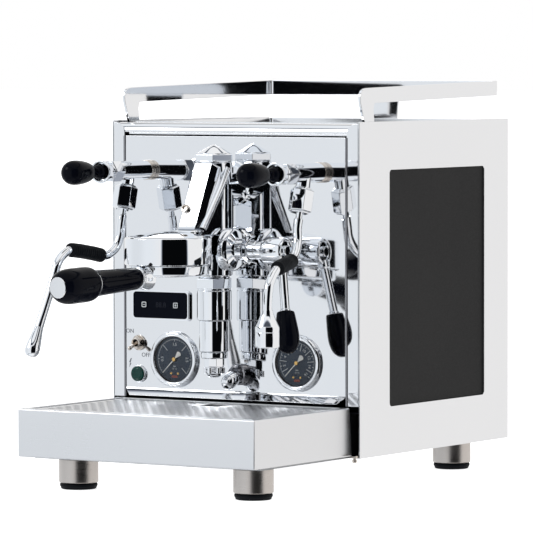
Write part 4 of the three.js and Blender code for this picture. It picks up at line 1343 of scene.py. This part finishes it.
class ESPRESSO_OT_wands(bpy.types.Operator):
    """Steam and hot water wands: ball joint, bent tube, rubber grip and tip"""

    bl_idname = "espresso.wands"
    bl_label = "Wands"

    def execute(self, context):
        for wand in WANDS:
            name, side = wand["name"], wand["side"]
            ball, start = 7.2, -6
            seat = nut_point(side, 11.5)
            profile = [(ball * math.cos(t), ball * math.sin(t)) for t in
                       (math.radians(-90 + 142 * i / 16) for i in range(17))]
            profile[0] = (0, -ball)
            profile += [(3.3, 6.9), (3.3, 11.5 - start - 0.4), (2.9, 11.5 - start - 0.2),
                        (0, 11.5 - start - 0.2)]
            place_piece(f"{name}_ball", Form().turned(profile, seat, -NUT_UP, 64), ["chrome"],
                        f"{name}_wand_ball", [f"{name}_wand_ball"], crease=50)
            bends = [(side * x, y, z) for x, y, z in wand["bends"]]
            path = eased([nut_point(side, start), nut_point(side, start - 10), *bends], 10)
            tube = Form().swept(path, TUBE, 40)
            end, way = path[-1], (path[-1] - path[-2]).normalized()
            if name == "steam":
                tube.turned([(0, -16), (4.6, -16), (5.1, -12), (5.9, -6), (6.8, 0), (7.4, 5), (7.5, 8),
                             (7.2, 10.6), (6.2, 13), (4.6, 14.6), (2.6, 15.2), (0, 15.3)], end, way, 48)
            else:
                tube.turned([(0, -3), (5.4, -3), (5.7, -2), (5.9, 0), (7.2, 3.2), (9.8, 9.6), (11.4, 12.6),
                             (12, 14), (12, 18.4), (11.8, 18.7), (12, 19), (12, 32.4), (11.4, 33.6),
                             (10, 34), (9, 34), (8.6, 32), (0, 32)], end, -Z, 72)
            place_piece(f"{name}_tube", tube, ["chrome"], f"{name}_wand", [f"{name}_wand"],
                        crease=40)
            sleeve = stretch(path, *wand["grip"])
            count = 15 if name == "steam" else 13
            grip = Form().swept(sleeve, lambda share: ribbed(share, WAND_GRIP, count), 40)
            place_piece(f"{name}_grip", grip, ["black_rubber"], f"{name}_wand",
                        [f"{name}_wand_grip"], crease=60)
        return {"FINISHED"}


# ---------------------------------------------------------------- brew group
COLUMN_Y, BELL_Y = -36.5, -119.5  # axes of the group's upright column and of its bell
BELL_LOW = 228.3  # lower edge of the bell
CAM_Z = 240.5  # height of the brew lever's axis
PLUG = (-6.8, -77.0, 282.0)  # where the plug screw meets the face of the neck


def head_forms():
    _, high, _ = room("group_head")
    y, bell_y = COLUMN_Y, BELL_Y
    top, radius = high.z, 43.5
    neck = [(-18, top), (-52.5, top), (-55.5, top - 1.2), (-56.8, top - 4), (-67.5, 302), (-85, 265),
            (-88.5, 259), (-91, 251), (-18, 251)]
    bell = [(0, 0), (radius - 0.8, 0), (radius, 0.9), (radius, 25.2), (radius - 0.4, 26.4),
            (radius - 1.6, 27.3), (36, 28.6), (28, 30.2), (20, 31.6), (10, 32.5), (0, 32.8)]
    inner = inset(neck, 5.2)
    shapes = [Form().loft([[Vector((x, a, b)) for a, b in shape] for shape, x in
                           ((inner, -14.8), (neck, -9.6), (neck, 9.6), (inner, 14.8))])]
    shapes.append(Form().turned([(0, 0), (17.6, 0), (18.5, 1), (18.5, top - 215), (17.8, top - 213.6),
                                 (0, top - 213.6)],
                                (0, y, 213.6), Z))
    shapes.append(Form().turned(bell, (0, bell_y, BELL_LOW), Z))
    for z in (306, 240):
        shapes.append(Form().turned([(0, 0), (23, 0), (23, 3), (22, 4.4), (19, 5.4), (18.6, 8), (18.6, -y),
                                     (0, -y)],
                                    (0, -0.35, z), -Y))
    shapes.append(Form().block((-13, bell_y + 20, 235), (13, y, 257)))
    shapes.append(Form().prism(rounded(-14.5, -96, 14.5, -60, 6), "z", 255.5, 261.2, draft=1.4))
    rib = eased([(17.5, -38, 322), (17, -48, 305), (16, -64, 283), (15, -80, 262)], 6)
    shapes.append(Form().swept(rib, 3.7, 32))
    return shapes


class ESPRESSO_OT_group(bpy.types.Operator):
    """Brew group casting with its cap, plug screw, bonnet and infusion chamber"""

    bl_idname = "espresso.group"
    bl_label = "Brew group"

    def execute(self, context):
        y, bell_y = COLUMN_Y, BELL_Y
        mesh = combined(head_forms(), "UNION")
        seat = Form().turned([(0, -2), (36, -2), (36, 21), (35, 22), (0, 22)], (0, bell_y, BELL_LOW), Z)
        bore = Form().turned([(0, 0), (4.8, 0), (4.8, 30), (0, 30)], (8, y, CAM_Z), X, 48)
        solid = Form()
        solid.points = [(v.co - Vector((0, FRONT_PLANE, 0))) / MM for v in mesh.vertices]
        solid.faces = [list(p.vertices) for p in mesh.polygons]
        solid.kinds = [0] * len(solid.faces)
        bpy.data.meshes.remove(mesh)
        casting = combined([solid, seat, bore], "DIFFERENCE", 30)
        place_piece("group_casting", casting, ["chrome"], "machine", ["group_head"],
                    edge=0.5 * MM, crease=30)

        cap_low, _, _ = room("group_cap")
        cap = Form()
        cap.hexagon(36, 8.7, (0, y, cap_low.z), Z, X, chamfer=2.2)
        cap.turned([(0, 0), (17.8, 0), (17.6, 0.6), (9, 5.2), (1.2, 9.2), (0, 9.4)],
                   (0, y, cap_low.z + 8.3), Z)
        cap.turned([(0, 0), (19.2, 0), (19.2, 1.0), (18.6, 1.4), (0, 1.4)], (0, y, cap_low.z - 0.6), Z)
        place_piece("group_cap_nut", cap, ["chrome"], "machine", ["group_cap"], edge=0.35 * MM)

        plug = Form()
        out = Vector((0, -0.905, 0.426))
        spot = Vector(PLUG)
        plug.turned([(0, -3), (4.5, -3), (4.5, 2.2), (4.0, 3.2), (2.4, 3.4), (2.2, 1.6), (0, 1.6)], spot,
                    out, 48)
        place_piece("group_plug", plug, ["warm_steel"], "machine", edge=0.2 * MM)

        chamber = Form()
        chamber.turned([(0, 0), (5.6, 0), (7.2, 1.2), (7.8, 3), (9.8, 9.6), (10.2, 12), (10.2, 19),
                        (0, 19)], (0, y, 111), Z, 8)
        chamber.turned([(0, 0), (12.4, 0), (13.3, 0.9), (13.6, 3.5), (13.3, 6), (12.6, 6.8), (0, 6.8)],
                       (0, y, 130), Z)
        chamber.turned([(0, 0), (14.8, 0), (15.3, 0.6), (15.3, 31), (14.9, 31.5), (0, 31.5)], (0, y, 137), Z)
        chamber.turned([(0, 0), (17, 0), (17.5, 0.6), (17.5, 29.4), (17.1, 30), (16.6, 30.4), (16.6, 32),
                        (0, 32)],
                       (0, y, 168.8), Z)
        chamber.hexagon(34, 11, (0, y, 200.5), Z, X, chamfer=1.2)
        chamber.turned([(0, 0), (16.6, 0), (15.2, 1.6), (15.2, 3.4), (0, 3.4)], (0, y, 211), Z)
        for i in range(6):
            t = math.radians(60 * i + 30)
            spot = Vector((8.4 * math.cos(t), y + 8.4 * math.sin(t), 114.5))
            chamber.turned([(0, 0), (2.4, 0.4), (2.4, 6.4), (0, 7)], spot, Z, 20)
        place_piece("infusion_body", chamber, ["chrome"], "machine", ["infusion_chamber"],
                    edge=0.25 * MM)

        bonnet = Form()
        at = lambda x: (x, y, CAM_Z)
        bonnet.ring([(5, 17), (21.4, 17), (22, 17.8), (22, 23), (21.2, 24.6), (18.4, 26.8), (13, 29),
                     (10.6, 31), (10.2, 37.6), (5, 37.6)], at(0), X)
        bonnet.ring([(5, 45), (9.6, 45), (9.6, 52), (9.1, 52.6), (9.1, 54), (9.6, 54.6), (9.6, 61.4),
                     (5, 61.4)], at(0), X)
        bonnet.turned([(5, 0), (10.6, 0), (radius_of(21), 0.8), (radius_of(21), 6.4), (10.6, 7.2), (5, 7.2)],
                      at(37.8), X, 6, corner=Z)
        place_piece("lever_bonnet_nut", bonnet, ["chrome"], "machine", ["lever_bonnet"],
                    edge=0.3 * MM)
        return {"FINISHED"}


def radius_of(across):
    """Corner radius of a hexagon measured across its flats."""
    return across / math.sqrt(3)


class ESPRESSO_OT_lever(bpy.types.Operator):
    """Brew lever: hub, shaft, stem and moulded handle"""

    bl_idname = "espresso.lever"
    bl_label = "Brew lever"

    def execute(self, context):
        y, z = COLUMN_Y, CAM_Z
        at = lambda x: (x, y, z)
        start, end = Vector((83, -39, 228)), Vector((91.4, -45.9, 180.7))
        way = (end - start).normalized()
        hub = Form()
        hub.turned([(0, 0), (12, 0), (13, 0.8), (13.5, 2), (13.5, 21.6), (13, 23.4), (12, 24.6), (11, 25),
                    (10.4, 24.6), (9.8, 22.6), (5.2, 22.6), (5.2, 25.2), (4.6, 26), (0, 26)], at(62), X)
        hub.turned([(0, 0), (4.2, 0), (4.2, 32), (0, 32)], at(31), X, 32)
        hub.turned([(0, 0), (3.1, 0), (3.1, 24), (0, 24)], at(10), X, 32)
        hub.turned([(0, -4), (6.4, -4), (6.4, 2.6), (5.4, 3.8), (4.6, 4.4), (4.6, (end - start).length - 2),
                    (5.4, (end - start).length - 1.4), (5.4, (end - start).length),
                    (0, (end - start).length)], start, way, 48)
        place_piece("lever_hub", hub, ["chrome"], "brew_lever", ["brew_lever"], edge=0.25 * MM)
        points = [(0, 0.3), (7.4, 0.3), (8.6, 1), (9.2, 3), (10.2, 9), (11.2, 16), (12, 22.5), (12.1, 27),
                  (11.6, 31.5), (10.4, 35.6), (8.4, 39), (5.6, 41.4), (2.8, 42.5), (0, 42.8)]
        grip = [(0, 0.3)] + [(p.x, p.y) for p in eased([(r, a, 0) for r, a in points[1:]], 3)]
        grip[-1] = (0, 42.8)
        place_piece("lever_grip", Form().turned(grip, end, way, 96), ["black_handle"], "brew_lever",
                    ["brew_lever_handle"], crease=50)
        return {"FINISHED"}


class ESPRESSO_OT_portafilter(bpy.types.Operator):
    """Portafilter: ring with lugs, neck, handle with its end disc, and the filter basket"""

    bl_idname = "espresso.portafilter"
    bl_label = "Portafilter"

    def execute(self, context):
        _, high, _ = room("portafilter")
        bell_y, ring_low = BELL_Y, 217.3
        centre = (0, bell_y, ring_low)
        swing = math.radians(-5)
        out = Vector((math.sin(swing), -math.cos(swing), -0.035)).normalized()
        base = Vector((0, bell_y, 218))
        height = high.z - ring_low
        bore = 30.8
        body = Form()
        body.ring([(bore, 0), (37.6, 0), (39.4, 0.8), (40.4, 2.4), (40.4, 9.8), (39.8, 10.5), (35.2, 10.6),
                   (35, height - 0.5), (34.6, height), (bore, height)], centre, Z)
        for angle in (70, 250):
            lug = [(r * math.cos(math.radians(t)), bell_y + r * math.sin(math.radians(t)))
                   for r, span in ((34, (-13, 13)), (35.9, (13, -13)))
                   for t in (angle + span[0] + (span[1] - span[0]) * i / 6 for i in range(7))]
            body.prism(lug, "z", high.z - 5.4, high.z - 0.6)
        neck = [(0, 33), (12.6, 34), (12.2, 37.5), (10.8, 41), (9.8, 44.6), (9.6, 46), (10.6, 46.8),
                (10.9, 48), (10.6, 49.2), (9.6, 49.6), (10.4, 50.2), (10.4, 50.6), (0, 50.6)]
        body.turned(neck, base, out, 72)
        place_piece("holder_ring", body, ["chrome"], "portafilter", ["portafilter"], edge=0.25 * MM)

        start = base + out * 50.9
        points = [(10.2, 0), (10.9, 1.2), (11.1, 6), (11.8, 30), (12.8, 56), (13.2, 64), (13.5, 65.6)]
        tail = [(13.6, 67.6), (15.4, 69.5), (16.8, 73), (17.3, 78), (17.4, 90), (17.4, 100), (16.9, 106),
                (15.4, 111.5), (12.8, 115.6), (11, 117.2), (10.4, 117.6)]
        grip = [(0, 0)] + points + [(13.0, 66.2), (13.0, 67.2)] + [(p.x,
                                                                    p.y) for p in eased([(r, a, 0) for r,
                                                                                         a in tail], 3)]
        grip += [(9.8, 117.0), (0, 117.0)]
        place_piece("holder_grip", Form().turned(grip, start, out), ["black_handle"], "portafilter",
                    ["portafilter_handle"], crease=42)
        trim = Form()
        trim.ring([(12.6, 66.1), (13.2, 66.1), (13.35, 66.4), (13.35, 67), (13.2, 67.3), (12.6, 67.3)],
                  start, out)
        trim.turned([(0, 116.6), (10.3, 116.6), (10.3, 117.8), (9.9, 118.3), (4, 118.6), (0, 118.6)], start,
                    out)
        place_piece("holder_trim", trim, ["polished_steel"], "portafilter")

        basket = Form()
        floor_z = high.z + 0.3 - 20
        basket.ring([(28.8, 21.3), (28, 4.2), (25.5, 1.2), (2, 1.0), (2, 0), (26, 0), (29.2, 3), (30, 20),
                     (33.2, 20), (33.6, 20.6), (33.2, 21.3)], (0, bell_y, floor_z), Z)
        basket.turned([(0, 0.1), (2, 0.1), (2, 0.9), (0, 0.9)], (0, bell_y, floor_z), Z, 32)
        place_piece("basket_cup", basket, ["polished_steel"], "portafilter",
                    ["filter_basket"])
        return {"FINISHED"}


class ESPRESSO_OT_drain(bpy.types.Operator):
    """Drain spout under the brew group, with its knurled nut"""

    bl_idname = "espresso.drain"
    bl_label = "Drain spout"

    def execute(self, context):
        spout = Form()
        forward = -Y
        profile = []
        for i in range(7):
            profile += [(10.9, 0.5 + i * 1.15), (10.3, 1.1 + i * 1.15)]
        spout.turned([(0, 0.3)] + profile + [(9, 8.7), (7.6, 9), (7.6, 15), (0, 15)], (9, 0, 112), forward,
                     kind=1)
        nose = [(0, -1), (6.4, 0.4), (7.6, 2.6), (8.1, 6), (8.1, 10), (7.6, 13.6), (6.2, 16.6), (4, 18.6),
                (1.6, 19.4), (0, 19.5)]
        spout.turned(nose, (9, -12, 110.5), (-0.1, -1, -0.5))
        place_piece("drain_nose", spout, ["chrome", "dark_chrome"], "machine", ["drain_spout"],
                    crease=40)
        return {"FINISHED"}


# ---------------------------------------------------------------- add-on
STEPS = (ESPRESSO_OT_stage, ESPRESSO_OT_front, ESPRESSO_OT_sides, ESPRESSO_OT_back, ESPRESSO_OT_inside,
         ESPRESSO_OT_top, ESPRESSO_OT_rail, ESPRESSO_OT_feet, ESPRESSO_OT_drip_tray, ESPRESSO_OT_drip_grid,
         ESPRESSO_OT_display, ESPRESSO_OT_gauges, ESPRESSO_OT_switch, ESPRESSO_OT_valves, ESPRESSO_OT_wands,
         ESPRESSO_OT_group, ESPRESSO_OT_lever, ESPRESSO_OT_portafilter, ESPRESSO_OT_drain)


class ESPRESSO_PT_panel(bpy.types.Panel):
    """The steps that build the machine, with their settings"""

    bl_idname = "ESPRESSO_PT_panel"
    bl_label = "Espresso machine"
    bl_space_type = "VIEW_3D"
    bl_region_type = "UI"
    bl_category = "Espresso"

    def draw(self, context):
        for settings in (sizes(), colours(), studio()):
            box = self.layout.box()
            for name in settings.__annotations__:
                box.prop(settings, name)
        for step in STEPS:
            self.layout.operator(step.bl_idname)


CLASSES = (MachineSizes, MachineColours, StudioSettings, *STEPS, ESPRESSO_PT_panel)


def register():
    for cls in CLASSES:
        bpy.utils.register_class(cls)
    bpy.types.Scene.espresso_sizes = bpy.props.PointerProperty(type=MachineSizes)
    bpy.types.Scene.espresso_colours = bpy.props.PointerProperty(type=MachineColours)
    bpy.types.Scene.espresso_studio = bpy.props.PointerProperty(type=StudioSettings)


def unregister():
    for name in ("espresso_sizes", "espresso_colours", "espresso_studio"):
        delattr(bpy.types.Scene, name)
    for cls in reversed(CLASSES):
        bpy.utils.unregister_class(cls)


def main():
    register()
    for step in STEPS:
        group, name = step.bl_idname.split(".")
        getattr(getattr(bpy.ops, group), name)()


if __name__ == "__main__":
    main()
